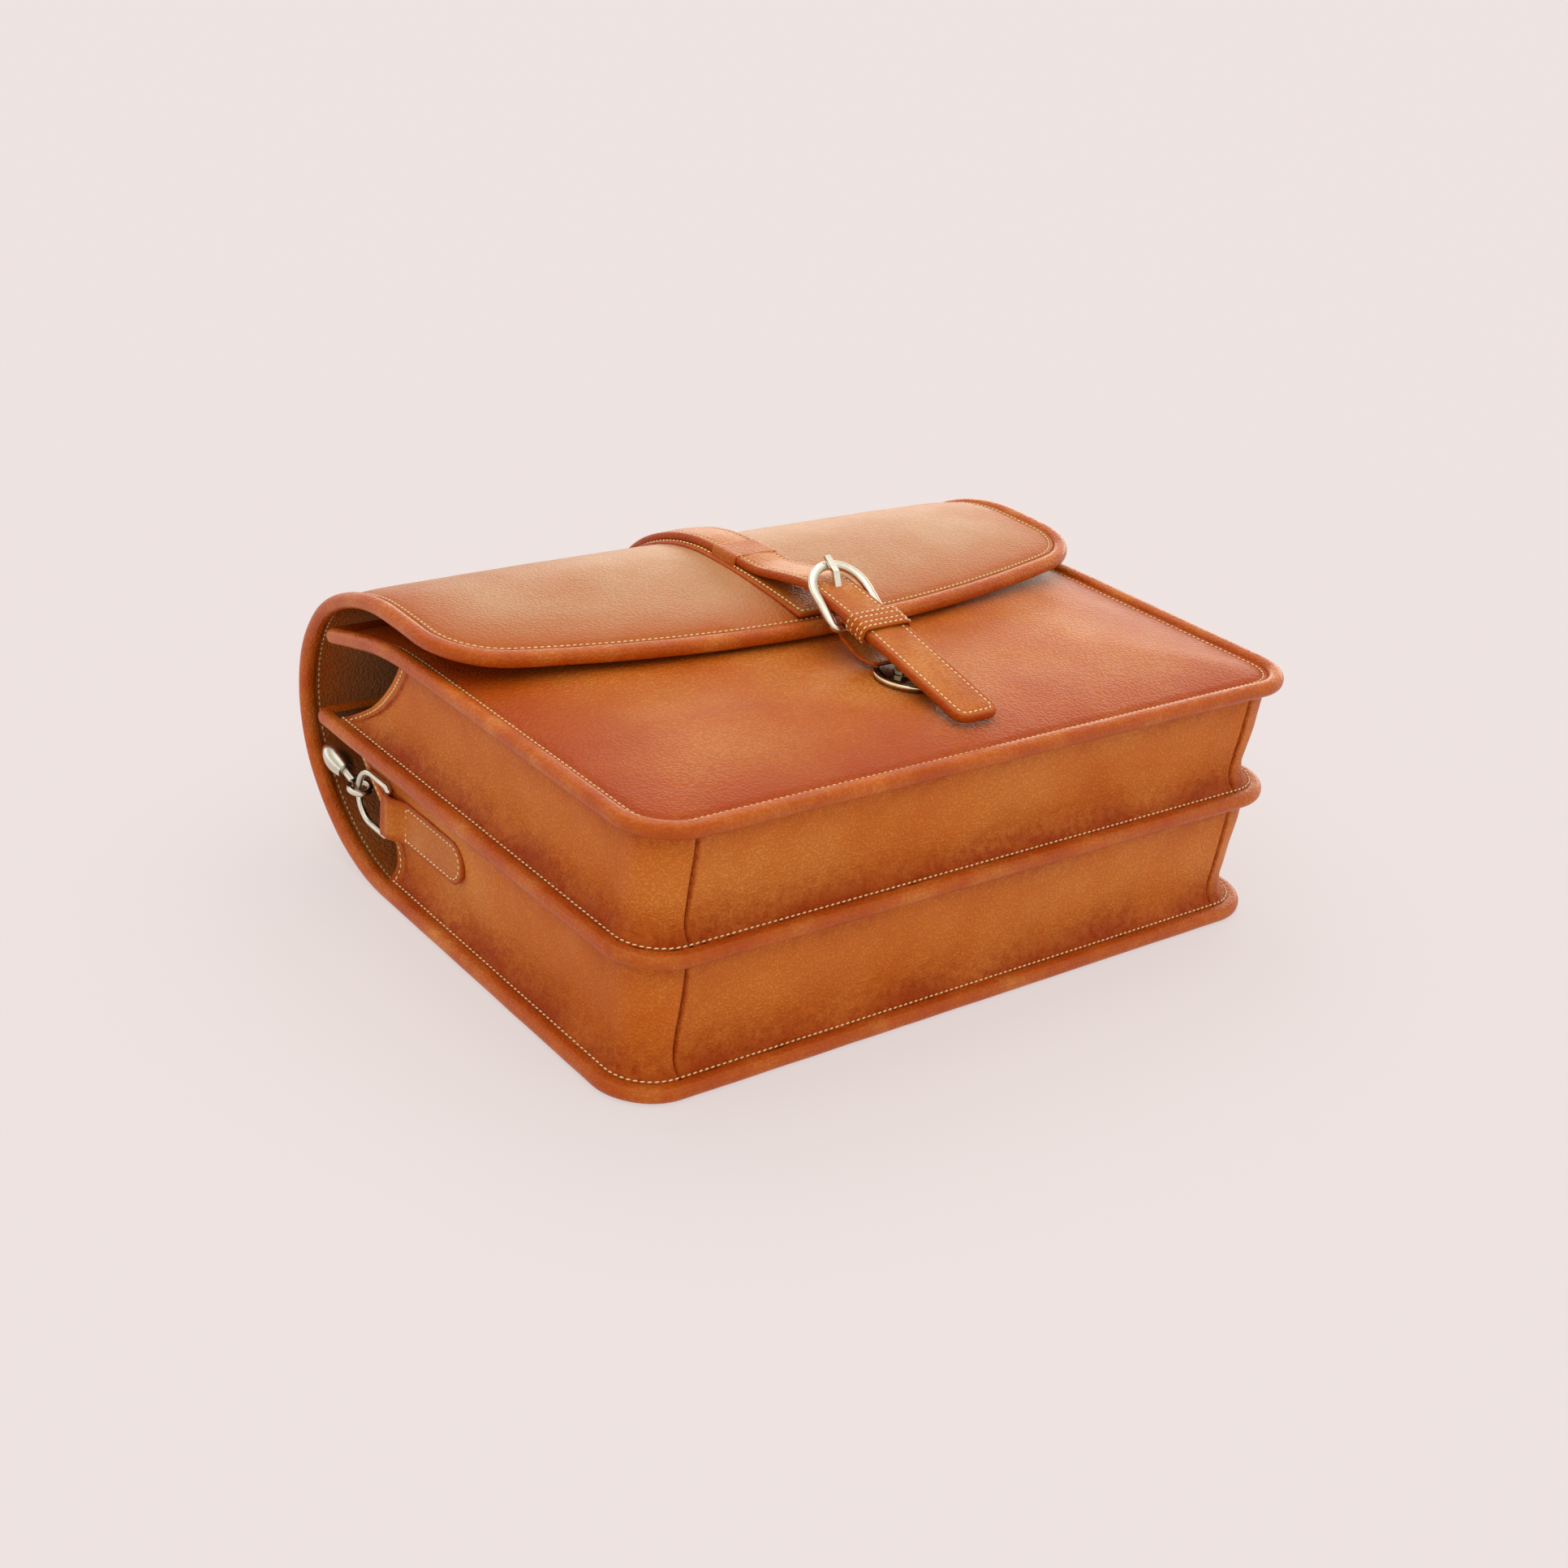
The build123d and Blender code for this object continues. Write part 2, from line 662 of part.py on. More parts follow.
# --- tab: folded round the buckle bar, and down to the clasp ---
clasp_floor = crown_at(clasp_at + clasp_length / 2) + ply_gap
tongue_z = clasp_floor + clasp_plate + ply_gap
tongue_top = tongue_z + tongue_thick
tab_end = clasp_at + clasp_length / 2 - 4.0
tab_loop = bore_radius + tab_leather
tab_thick = 2 * tab_leather
with BuildPart() as buckle_tab:
    with BuildSketch(side(-tab_width / 2)):
        with BuildLine():
            FilletPolyline(
                (tab_end, tongue_top + ply_gap),
                (bar_at - tab_bend, tongue_top + ply_gap),
                (bar_at, bar_z - bore_radius - tab_leather / 2 - tab_thick / 2),
                radius=tab_bend,
            )
            offset(amount=tab_thick, side=Side.LEFT)
        make_face()
        with Locations((bar_at, bar_z)):
            Circle(tab_loop)
            Circle(bore_radius, mode=Mode.SUBTRACT)
    extrude(amount=tab_width)
    prong_notch = 2 * (prong_width / 2 + prong_bore_gap)
    with Locations((0, y_shift + bar_at + tab_loop, bar_z)):
        Box(prong_notch, 4 * tab_loop, 4 * tab_loop, mode=Mode.SUBTRACT)
write(buckle_tab, "buckle_tab")

# --- clasp: a plate and rim on the front panel, a tongue on the tab, a knob that turns ---
tongue_width = clasp_width - 2 * clasp_rim_wall - tongue_play
tongue_length = clasp_length - 2 * clasp_rim_wall - tongue_play
with BuildPart() as clasp_base:
    with BuildSketch(plan(clasp_floor)):
        with Locations((0, clasp_at)):
            Ellipse(clasp_width / 2, clasp_length / 2)
            Circle(knob_post_radius + running_gap, mode=Mode.SUBTRACT)
    extrude(amount=clasp_plate)
    with BuildSketch(plan(clasp_floor + clasp_plate)):
        with Locations((0, clasp_at)):
            Ellipse(clasp_width / 2, clasp_length / 2)
            Ellipse(clasp_width / 2 - clasp_rim_wall, clasp_length / 2 - clasp_rim_wall, mode=Mode.SUBTRACT)
        with Locations((0, clasp_at + clasp_length / 2)):
            Rectangle(tab_width + slot_gap, rim_cut, mode=Mode.SUBTRACT)
    extrude(amount=clasp_rim)
write(clasp_base, "clasp_base")

screw_length = leather + screw_grip
with BuildPart() as clasp_screws:
    with BuildSketch(plan(clasp_floor - screw_length)):
        with Locations((-screw_spread, clasp_at), (screw_spread, clasp_at)):
            Circle(screw_radius)
    extrude(amount=screw_length)
write(clasp_screws, "clasp_screws")

with BuildPart() as clasp_tongue:
    with BuildSketch(plan(tongue_z)):
        with Locations((0, clasp_at)):
            Ellipse(tongue_width / 2, tongue_length / 2)
        with Locations((0, clasp_at + tongue_length / 2)):
            Rectangle(tab_width - tongue_neck, rim_cut)
        with Locations((0, clasp_at)):
            SlotOverall(knob_length + 2 * slot_gap, knob_width + 2 * slot_gap, mode=Mode.SUBTRACT)
    extrude(amount=tongue_thick)
write(clasp_tongue, "clasp_tongue")

with BuildPart() as clasp_knob:
    with BuildSketch(plan(clasp_floor + ply_gap)):
        with Locations((0, clasp_at)):
            Circle(knob_post_radius)
    extrude(amount=tongue_top + ply_gap - clasp_floor)
    with BuildSketch(plan(tongue_top + 2 * ply_gap)):
        with Locations((0, clasp_at)):
            SlotOverall(knob_length, knob_width)
    extrude(amount=knob_height)
write(clasp_knob, "clasp_knob")

# --- side rings on folded tabs ---
ring_tab_loop = ring_wire + bore_gap + tab_leather
for label, sign in (("left", -1), ("right", 1)):
    ring_x = sign * ring_stand
    with BuildPart() as ring_tab:
        with BuildSketch(side(sign * (ring_stand + ring_tab_thick / 2 - 1.0))):
            with BuildSketch(Plane.XY, mode=Mode.PRIVATE) as tab_face:
                with Locations(((ring_tab_end + ring_at) / 2, ring_height)):
                    Rectangle(ring_at - ring_tab_end, ring_tab_width)
                fillet(tab_face.vertices().group_by(Axis.X)[0], ring_tab_width / 2 - 0.5)
            add(tab_face.sketch)
        extrude(amount=-sign * 12.0)
        add(rear_block.part, mode=Mode.SUBTRACT)
        with BuildSketch(plan(ring_height - ring_tab_width / 2)):
            with Locations((ring_x, ring_at)):
                Circle(ring_tab_loop)
        extrude(amount=ring_tab_width)
        with BuildSketch(plan(ring_height - ring_tab_width)):
            with Locations((ring_x, ring_at)):
                Circle(ring_wire + bore_gap)
        extrude(amount=2 * ring_tab_width, mode=Mode.SUBTRACT)
    write(ring_tab, f"ring_tab_{label}")

    reach = ring_inner / 2 + ring_wire
    straight = ring_depth - reach
    with BuildPart() as d_ring:
        with BuildLine(side(ring_x)) as ring_path:
            low, high = ring_height - reach, ring_height + reach
            FilletPolyline(
                (ring_at + straight, low),
                (ring_at, low),
                (ring_at, high),
                (ring_at + straight, high),
                radius=2.5,
            )
            ThreePointArc(
                (ring_at + straight, high),
                (ring_at + ring_depth, ring_height),
                (ring_at + straight, low),
            )
        with BuildSketch(Plane(origin=ring_path.line @ 0, z_dir=ring_path.line % 0)):
            Circle(ring_wire)
        sweep()
    write(d_ring, f"d_ring_{label}")

# --- snap hook left hanging on one ring ---
hook_turn = math.radians(hook_tilt)
hook_x = -ring_stand - ring_wire - hook_room + hook_eye - hook_wire
hook_y = ring_at + ring_depth + hook_eye - hook_wire - ring_wire - hook_room
hook_along = (0, math.cos(hook_turn), math.sin(hook_turn))
hook_plane = Plane(
    origin=(hook_x, y_shift + hook_y, ring_height),
    x_dir=(1, 0, 0),
    z_dir=(0, -math.sin(hook_turn), math.cos(hook_turn)),
)


def across_hook(distance):
    """A plane square to the hook, at a distance from the middle of its eye."""
    return Plane(origin=hook_plane.from_local_coords((0, distance, 0)), x_dir=(1, 0, 0), z_dir=hook_along)


with BuildPart() as hook_body:
    with BuildLine(hook_plane) as hook_path:
        CenterArc((0, 0), hook_eye, gate_tip, 360.0 - (gate_tip - gate_root))
    with BuildSketch(Plane(origin=hook_path.line @ 0, z_dir=hook_path.line % 0)):
        Circle(hook_wire)
    sweep()
    with BuildSketch(across_hook(hook_eye)):
        Circle(1.5 * hook_wire)
    extrude(amount=hook_neck)
    with BuildSketch(across_hook(hook_eye + hook_neck)):
        Circle(swivel_post_radius)
    extrude(amount=swivel_post_length)
write(hook_body, "hook_body")

gate_start = on_circle((0, 0), hook_eye, gate_root + gate_back)
gate_stop = on_circle((0, 0), hook_eye, gate_tip - gate_clear)
with BuildPart() as hook_gate:
    with BuildSketch(hook_plane):
        SlotCenterPoint(
            ((gate_start[0] + gate_stop[0]) / 2, (gate_start[1] + gate_stop[1]) / 2), gate_start, 2 * gate_half
        )
    extrude(amount=gate_half, both=True)
write(hook_gate, "hook_gate")

with BuildPart() as hook_swivel:
    swivel_from = hook_eye + hook_neck + cut_gap
    for distance, radius in (
        (swivel_from, swivel_radius - 2.0),
        (swivel_from + swivel_length / 2, swivel_radius),
        (swivel_from + swivel_length, swivel_radius - 3.5),
    ):
        with BuildSketch(across_hook(distance)):
            Circle(radius)
    loft()
    with BuildSketch(across_hook(hook_eye + hook_neck)):
        Circle(swivel_post_radius + running_gap)
    extrude(amount=swivel_post_length + cut_gap, mode=Mode.SUBTRACT)
write(hook_swivel, "hook_swivel")

# --- carry handle over the top of the bag ---
pivot_x = handle_span / 2
tab_outer = face_depth - ply_gap - handle_tab_thick
rivet_angle = math.degrees((handle_tab_height / 2 - rivet_from_end) / mid_radius)
with BuildPart() as handle_rivets:
    for sign in (-1, 1):
        for angle in (-rivet_angle, rivet_angle):
            rivet_y, rivet_z = on_circle(mid_centre, mid_radius - tab_outer + ply_gap, angle)
            with Locations(Location((sign * pivot_x, y_shift + rivet_y, rivet_z), (angle - 90, 0, 0))):
                Cylinder(rivet_radius, rivet_head, align=(Align.CENTER, Align.CENTER, Align.MIN))
write(handle_rivets, "handle_rivets")

for label, sign in (("left", -1), ("right", 1)):
    x = sign * pivot_x
    with BuildPart() as handle_tab:
        tab_arc = math.degrees(handle_tab_height / 2 / mid_radius)
        add(
            curved_layer(
                [(mid_centre, mid_radius, -tab_arc, tab_arc)],
                tab_outer,
                face_depth - ply_gap,
                x - handle_tab_width / 2,
                x + handle_tab_width / 2,
            ).part
        )
        with BuildSketch(side(x - handle_tab_width / 2)):
            with Locations((handle_y, handle_z)):
                Circle(handle_loop)
                Rectangle(handle_stand, 2 * tab_leather, align=(Align.MAX, Align.CENTER))
        extrude(amount=handle_tab_width)
        with BuildSketch(side(x - handle_tab_width)):
            with Locations((handle_y, handle_z)):
                Circle(handle_ring_wire + bore_gap)
        extrude(amount=2 * handle_tab_width, mode=Mode.SUBTRACT)
    write(handle_tab, f"handle_tab_{label}")

    with BuildPart() as handle_ring:
        with BuildLine(front_view(handle_y)) as loop_path:
            left, right = x - handle_ring_width / 2, x + handle_ring_width / 2
            FilletPolyline(
                (right, handle_z),
                (right, handle_z - handle_ring_drop),
                (left, handle_z - handle_ring_drop),
                (left, handle_z),
                close=True,
                radius=3.5,
            )
        with BuildSketch(Plane(origin=loop_path.line @ 0, z_dir=loop_path.line % 0)):
            Circle(handle_ring_wire)
        sweep()
    write(handle_ring, f"handle_ring_{label}")

    chape_top = handle_z - handle_ring_drop + handle_ring_wire + tab_leather
    chape_low = handle_z - handle_drop + grip_radius + 9.0
    with BuildPart() as chape:
        with BuildSketch(front_view(handle_y - chape_thick / 2)):
            with Locations((x, (chape_top + chape_low) / 2)):
                RectangleRounded(chape_width, chape_top - chape_low, 2.0)
        extrude(amount=-chape_thick)
        with Locations(Location((x, y_shift + handle_y, handle_z - handle_ring_drop), (0, 90, 0))):
            Cylinder(handle_ring_wire + ply_gap, 2 * chape_width, mode=Mode.SUBTRACT)
    write(chape, f"handle_chape_{label}")

grip_top = chape_low - ply_gap
grip_z = handle_z - handle_drop
with BuildPart() as handle_grip:
    with BuildLine(front_view(handle_y)) as grip_path:
        FilletPolyline(
            (-pivot_x, grip_top), (-pivot_x, grip_z), (pivot_x, grip_z), (pivot_x, grip_top), radius=14.0
        )
    with BuildSketch(Plane(origin=grip_path.line @ 0, z_dir=grip_path.line % 0)):
        Circle(grip_radius)
        Circle(core_radius + ply_gap, mode=Mode.SUBTRACT)
    sweep()
write(handle_grip, "handle_grip")

with BuildPart() as handle_core:
    with BuildLine(front_view(handle_y)) as core_path:
        FilletPolyline(
            (-pivot_x, grip_top), (-pivot_x, grip_z), (pivot_x, grip_z), (pivot_x, grip_top), radius=14.0
        )
    with BuildSketch(Plane(origin=core_path.line @ 0, z_dir=core_path.line % 0)):
        Circle(core_radius)
    sweep()
write(handle_core, "handle_core")
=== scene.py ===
import math

import bmesh
import bpy
import numpy as np
from mathutils import Matrix, Vector, noise


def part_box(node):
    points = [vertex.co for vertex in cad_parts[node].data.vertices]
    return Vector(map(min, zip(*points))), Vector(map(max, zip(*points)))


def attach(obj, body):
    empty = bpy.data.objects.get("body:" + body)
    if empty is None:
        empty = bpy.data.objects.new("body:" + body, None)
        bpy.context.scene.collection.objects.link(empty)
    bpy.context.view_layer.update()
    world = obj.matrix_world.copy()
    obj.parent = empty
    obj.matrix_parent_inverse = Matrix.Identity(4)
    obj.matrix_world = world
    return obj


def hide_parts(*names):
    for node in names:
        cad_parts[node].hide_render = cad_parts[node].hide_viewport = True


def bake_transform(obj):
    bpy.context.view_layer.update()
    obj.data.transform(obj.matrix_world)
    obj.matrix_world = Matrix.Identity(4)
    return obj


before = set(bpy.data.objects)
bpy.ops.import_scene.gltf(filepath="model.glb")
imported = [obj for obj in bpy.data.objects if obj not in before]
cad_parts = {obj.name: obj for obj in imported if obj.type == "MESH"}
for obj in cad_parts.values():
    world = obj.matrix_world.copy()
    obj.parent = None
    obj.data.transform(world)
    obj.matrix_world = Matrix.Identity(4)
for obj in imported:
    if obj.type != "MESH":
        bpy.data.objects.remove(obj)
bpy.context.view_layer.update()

print("frame loaded:", len(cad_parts), "nodes")

# Shapes are worked out in millimetres from the bag's bottom edge (y) and the floor (z),
# and turned into metres in the frame when a mesh is made.
mm = 0.001
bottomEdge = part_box("back_edge_roll")[0].y
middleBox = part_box("middle_edge_roll")
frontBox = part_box("front_edge_roll")
bag = {
    "half": middleBox[1].x / mm,  # half the width over the edge rolls
    "roll": (middleBox[1].z - middleBox[0].z) / mm,  # thickness of every edge roll
    "corner": 30.0,  # bottom corners of every panel
    "top": (middleBox[1].y - bottomEdge) / mm,  # top edge of the middle panel
    "middleLow": middleBox[0].z / mm,
    "middleHigh": middleBox[1].z / mm,
    "frontLow": (frontBox[1].z - (middleBox[1].z - middleBox[0].z)) / mm,
    "frontHigh": frontBox[1].z / mm,
}
# the long curve from the floor up the back of the bag and over to the flap, seen from the side
sideCurve = {
    "flatUntil": 224.5,
    "lowRadius": 102.0,
    "lowEnd": -38.0,
    "midRadius": 68.0,
    "foldAt": 28.0,
    "midEnd": 62.0,
    "topRadius": 119.0,
    "flapRadius": 750.0,
}


def onCircle(centre, radius, angle):
    turn = math.radians(angle)
    return np.array([centre[0] + radius * math.cos(turn), centre[1] + radius * math.sin(turn)])


def curveStretches():
    # every arc of the curve: centre, radius, first angle, length along it
    c = sideCurve
    low = np.array([c["flatUntil"], c["lowRadius"]])
    mid = onCircle(low, c["lowRadius"] - c["midRadius"], c["lowEnd"])
    top = onCircle(mid, c["midRadius"] - c["topRadius"], c["midEnd"])
    flap = np.array([top[0], top[1] + c["topRadius"] - c["flapRadius"]])
    stretches = []
    for centre, radius, first, last in (
        (low, c["lowRadius"], -90.0, c["lowEnd"]),
        (mid, c["midRadius"], c["lowEnd"], c["midEnd"]),
        (top, c["topRadius"], c["midEnd"], 90.0),
        (flap, c["flapRadius"], 90.0, 130.0),
    ):
        stretches.append((centre, radius, math.radians(first), radius * math.radians(last - first)))
    return stretches


stretches = curveStretches()
midCentre, topCentre, flapCentre = [stretch[0] for stretch in stretches[1:]]
crest = topCentre[1] + sideCurve["topRadius"]
startOf = np.cumsum([sideCurve["flatUntil"]] + [stretch[3] for stretch in stretches])
spineTurn = math.radians(sideCurve["foldAt"] - sideCurve["lowEnd"])
spineMiddle = startOf[1] + 0.5 * sideCurve["midRadius"] * spineTurn


def curveSurface(x, s):
    # point on the long curve and the direction away from the bag
    x, s = paired(x, s)
    points = np.stack([x, s, np.zeros_like(s)], -1)
    normals = np.zeros_like(points)
    normals[..., 2] = -1.0
    for (centre, radius, first, _), start in zip(stretches, startOf):
        angle = first + (s - start) / radius
        here = s >= start
        for axis, value in ((1, np.cos(angle)), (2, np.sin(angle))):
            normals[..., axis] = np.where(here, value, normals[..., axis])
            points[..., axis] = np.where(here, centre[axis - 1] + radius * value, points[..., axis])
    return points, normals


def alongFlap(y):
    # length along the curve where the flap passes over a distance from the bottom edge
    return startOf[3] + sideCurve["flapRadius"] * np.arcsin((flapCentre[0] - y) / sideCurve["flapRadius"])


def toFrame(points):
    placed = np.asarray(points, float) * mm
    placed[..., 1] += bottomEdge
    return placed


def link(name, data):
    obj = bpy.data.objects.new(name, data)
    bpy.context.scene.collection.objects.link(obj)
    return obj


def meshPiece(name, points, faces, slots=None, burnish_and_shade=None, sharp=50.0):
    # a closed mesh with smooth faces, its normals outward
    mesh = bpy.data.meshes.new(name)
    mesh.from_pydata(toFrame(points).reshape(-1, 3).tolist(), [], faces)
    if slots is not None:
        mesh.polygons.foreach_set("material_index", np.asarray(slots, np.int32))
    if burnish_and_shade is not None:
        layer = mesh.attributes.new("burnish_and_shade", "FLOAT", "POINT")
        layer.data.foreach_set("value", np.asarray(burnish_and_shade, np.float32).ravel())
    work = bmesh.new()
    work.from_mesh(mesh)
    bmesh.ops.remove_doubles(work, verts=work.verts, dist=2e-6)
    bmesh.ops.recalc_face_normals(work, faces=work.faces)
    if work.calc_volume(signed=True) < 0:
        bmesh.ops.reverse_faces(work, faces=work.faces)
    work.to_mesh(mesh)
    work.free()
    mesh.shade_smooth()
    mesh.set_sharp_from_angle(angle=math.radians(sharp))
    return link(name, mesh)


def gridFaces(rows, columns, start=0, flip=False):
    faces = []
    for r in range(rows - 1):
        for c in range(columns - 1):
            a = start + r * columns + c
            quad = (a, a + 1, a + columns + 1, a + columns)
            faces.append(quad[::-1] if flip else quad)
    return faces


def shell(name, outer, inner, burnish_and_shade=None, sharp=50.0, border=None):
    # two matching grids joined along their edges; the inner one takes the second material, its border the third
    rows, columns = outer.shape[:2]
    count = rows * columns
    points = np.concatenate([outer.reshape(-1, 3), inner.reshape(-1, 3)])
    faces = gridFaces(rows, columns)
    slots = [0] * len(faces)
    faces += gridFaces(rows, columns, count, True)
    inside = np.ones((rows - 1, columns - 1), int)
    if border is not None:
        inside += border[:-1, :-1] & border[1:, 1:]
    slots += inside.ravel().tolist()
    edge = list(range(columns))
    edge += [r * columns + columns - 1 for r in range(1, rows)]
    edge += [(rows - 1) * columns + c for c in range(columns - 2, -1, -1)]
    edge += [r * columns for r in range(rows - 2, 0, -1)]
    for a, b in zip(edge, edge[1:] + edge[:1]):
        faces.append((b, a, a + count, b + count))
        slots.append(0)
    both = None if burnish_and_shade is None else np.concatenate([burnish_and_shade.ravel(), burnish_and_shade.ravel()])
    return meshPiece(name, points, faces, slots, both, sharp)


def sweep(name, path, across, up, section, closed=False, scale=None, burnish_and_shade=None, sharp=50.0):
    # a section of (across, up) pairs carried along a path, closed or with capped ends
    rows, columns = len(path), len(section)
    factor = np.ones((rows, 2)) if scale is None else np.asarray(scale, float)
    local = section[None, :, :] * factor[:, None, :]
    points = path[:, None, :] + local[..., :1] * across[:, None, :] + local[..., 1:] * up[:, None, :]
    faces = []
    for r in range(rows if closed else rows - 1):
        below, above = r * columns, ((r + 1) % rows) * columns
        for c in range(columns):
            d = (c + 1) % columns
            faces.append((below + c, below + d, above + d, above + c))
    if not closed:
        faces.append(tuple(range(columns))[::-1])
        faces.append(tuple((rows - 1) * columns + c for c in range(columns)))
    tint = None if burnish_and_shade is None else np.repeat(np.asarray(burnish_and_shade, float), columns)
    return meshPiece(name, points, faces, None, tint, sharp)


def roundSection(halfWide, halfHigh, power=2.0, count=20, centre=(0.0, 0.0)):
    angle = np.linspace(0, 2 * math.pi, count, endpoint=False)
    wide = np.sign(np.cos(angle)) * np.abs(np.cos(angle)) ** (2 / power)
    high = np.sign(np.sin(angle)) * np.abs(np.sin(angle)) ** (2 / power)
    return np.stack([centre[0] + halfWide * wide, centre[1] + halfHigh * high], -1)


def lengthsAlong(points):
    return np.concatenate([[0], np.cumsum(np.linalg.norm(np.diff(points, axis=0), axis=1))])


def resample(points, step, closed=False):
    points = np.asarray(points, float)
    if closed:
        points = np.concatenate([points, points[:1]])
    lengths = lengthsAlong(points)
    count = max(3, int(round(lengths[-1] / step)) + 1)
    at = np.linspace(0, lengths[-1], count)
    even = np.stack([np.interp(at, lengths, points[:, axis]) for axis in range(points.shape[1])], -1)
    return even[:-1] if closed else even


def directions(points, closed=False):
    if closed:
        step = np.roll(points, -1, 0) - np.roll(points, 1, 0)
    else:
        step = np.gradient(points, axis=0)
    return step / np.linalg.norm(step, axis=1, keepdims=True)


def leftOf(along):
    return np.stack([-along[:, 1], along[:, 0]], -1)


def rightOf(along):
    return np.stack([along[:, 1], -along[:, 0]], -1)


def paired(x, s):
    return np.broadcast_arrays(np.asarray(x, float), np.asarray(s, float))


def arc(centre, radius, first, last, step=2.0):
    count = max(4, int(abs(math.radians(last - first)) * radius / step) + 2)
    return [onCircle(centre, radius, angle) for angle in np.linspace(first, last, count)]


def filletPath(corners, radii, step=1.0):
    # straight runs joined by round corners, in two dimensions
    corners = [np.array(corner, float) for corner in corners]
    path = [corners[0]]
    for before, here, after, radius in zip(corners, corners[1:], corners[2:], radii):
        back, on = before - here, after - here
        back, on = back / np.linalg.norm(back), on / np.linalg.norm(on)
        half = math.acos(np.clip(back @ on, -1, 1)) / 2
        reach = radius / math.tan(half)
        middle = back + on
        centre = here + middle / np.linalg.norm(middle) * radius / math.sin(half)
        start, end = here + back * reach, here + on * reach
        a, b = start - centre, end - centre
        turn = math.atan2(a[0] * b[1] - a[1] * b[0], a @ b)
        for share in np.linspace(0, 1, max(3, int(radius * abs(turn) / step) + 2)):
            c, s = math.cos(turn * share), math.sin(turn * share)
            path.append(centre + np.array([c * a[0] - s * a[1], s * a[0] + c * a[1]]))
    path.append(corners[-1])
    return np.array(path)


def roundedBox(half, low, high, lowRadius, highRadius, step=2.0):
    # a closed outline with two round corners at its low end and two at its high end
    left, right = -(half - lowRadius), half - lowRadius
    lowEnd = arc((left, low + lowRadius), lowRadius, 180.0, 270.0, step)
    lowEnd += arc((right, low + lowRadius), lowRadius, 270.0, 360.0, step)
    left, right = -(half - highRadius), half - highRadius
    highEnd = arc((right, high - highRadius), highRadius, 0.0, 90.0, step)
    highEnd += arc((left, high - highRadius), highRadius, 90.0, 180.0, step)
    return np.array(lowEnd + highEnd)


def pathSurface(route):
    # a sheet drawn out along x from a route in the side view; its normal is to the route's left
    route = resample(route, 0.5)
    tangent = directions(route)
    along = lengthsAlong(route)

    def surface(x, s):
        x, s = paired(x, s)
        y, z = [np.interp(s, along, route[:, axis]) for axis in (0, 1)]
        ty, tz = [np.interp(s, along, tangent[:, axis]) for axis in (0, 1)]
        return np.stack([x, y, z], -1), np.stack([np.zeros_like(x), -tz, ty], -1)

    return surface, along[-1]


def distanceTo(outline, x, s):
    flat = np.stack([x.ravel(), s.ravel()], -1)
    nearest = np.empty(len(flat))
    for start in range(0, len(flat), 2000):
        part = flat[start:start + 2000]
        nearest[start:start + 2000] = np.sqrt(((part[:, None, :] - outline[None]) ** 2).sum(-1).min(1))
    return nearest.reshape(x.shape)


def ripple(points, size, seed):
    # smooth noise, about -1 to 1, over an array of points
    flat = points.reshape(-1, points.shape[-1]) / size
    shift = Vector((seed, 0.0, 0.0))
    return np.array([noise.noise(Vector(p) + shift) for p in flat]).reshape(points.shape[:-1])


def slowWave(x, s, broad, fine, share):
    # the unevenness of a panel: broad and fine waves, each with its size and seed
    spot = np.stack([x, s, 0 * s], -1)
    return ripple(spot, *broad) + share * ripple(spot, *fine)


# Stitches: rows are gathered per piece group and sewn together at the end.
stitchLook = {"pitch": 3.2, "length": 2.5, "thick": 0.9, "slant": 7.0}
rows = {}


def addRow(group, points, ups):
    rows.setdefault(group, []).append((toFrame(points), np.asarray(ups, float)))


def surfaceRow(group, surface, x, s, lift=0.0):
    points, normals = surface(np.asarray(x, float), np.asarray(s, float))
    addRow(group, points + normals * lift, normals)


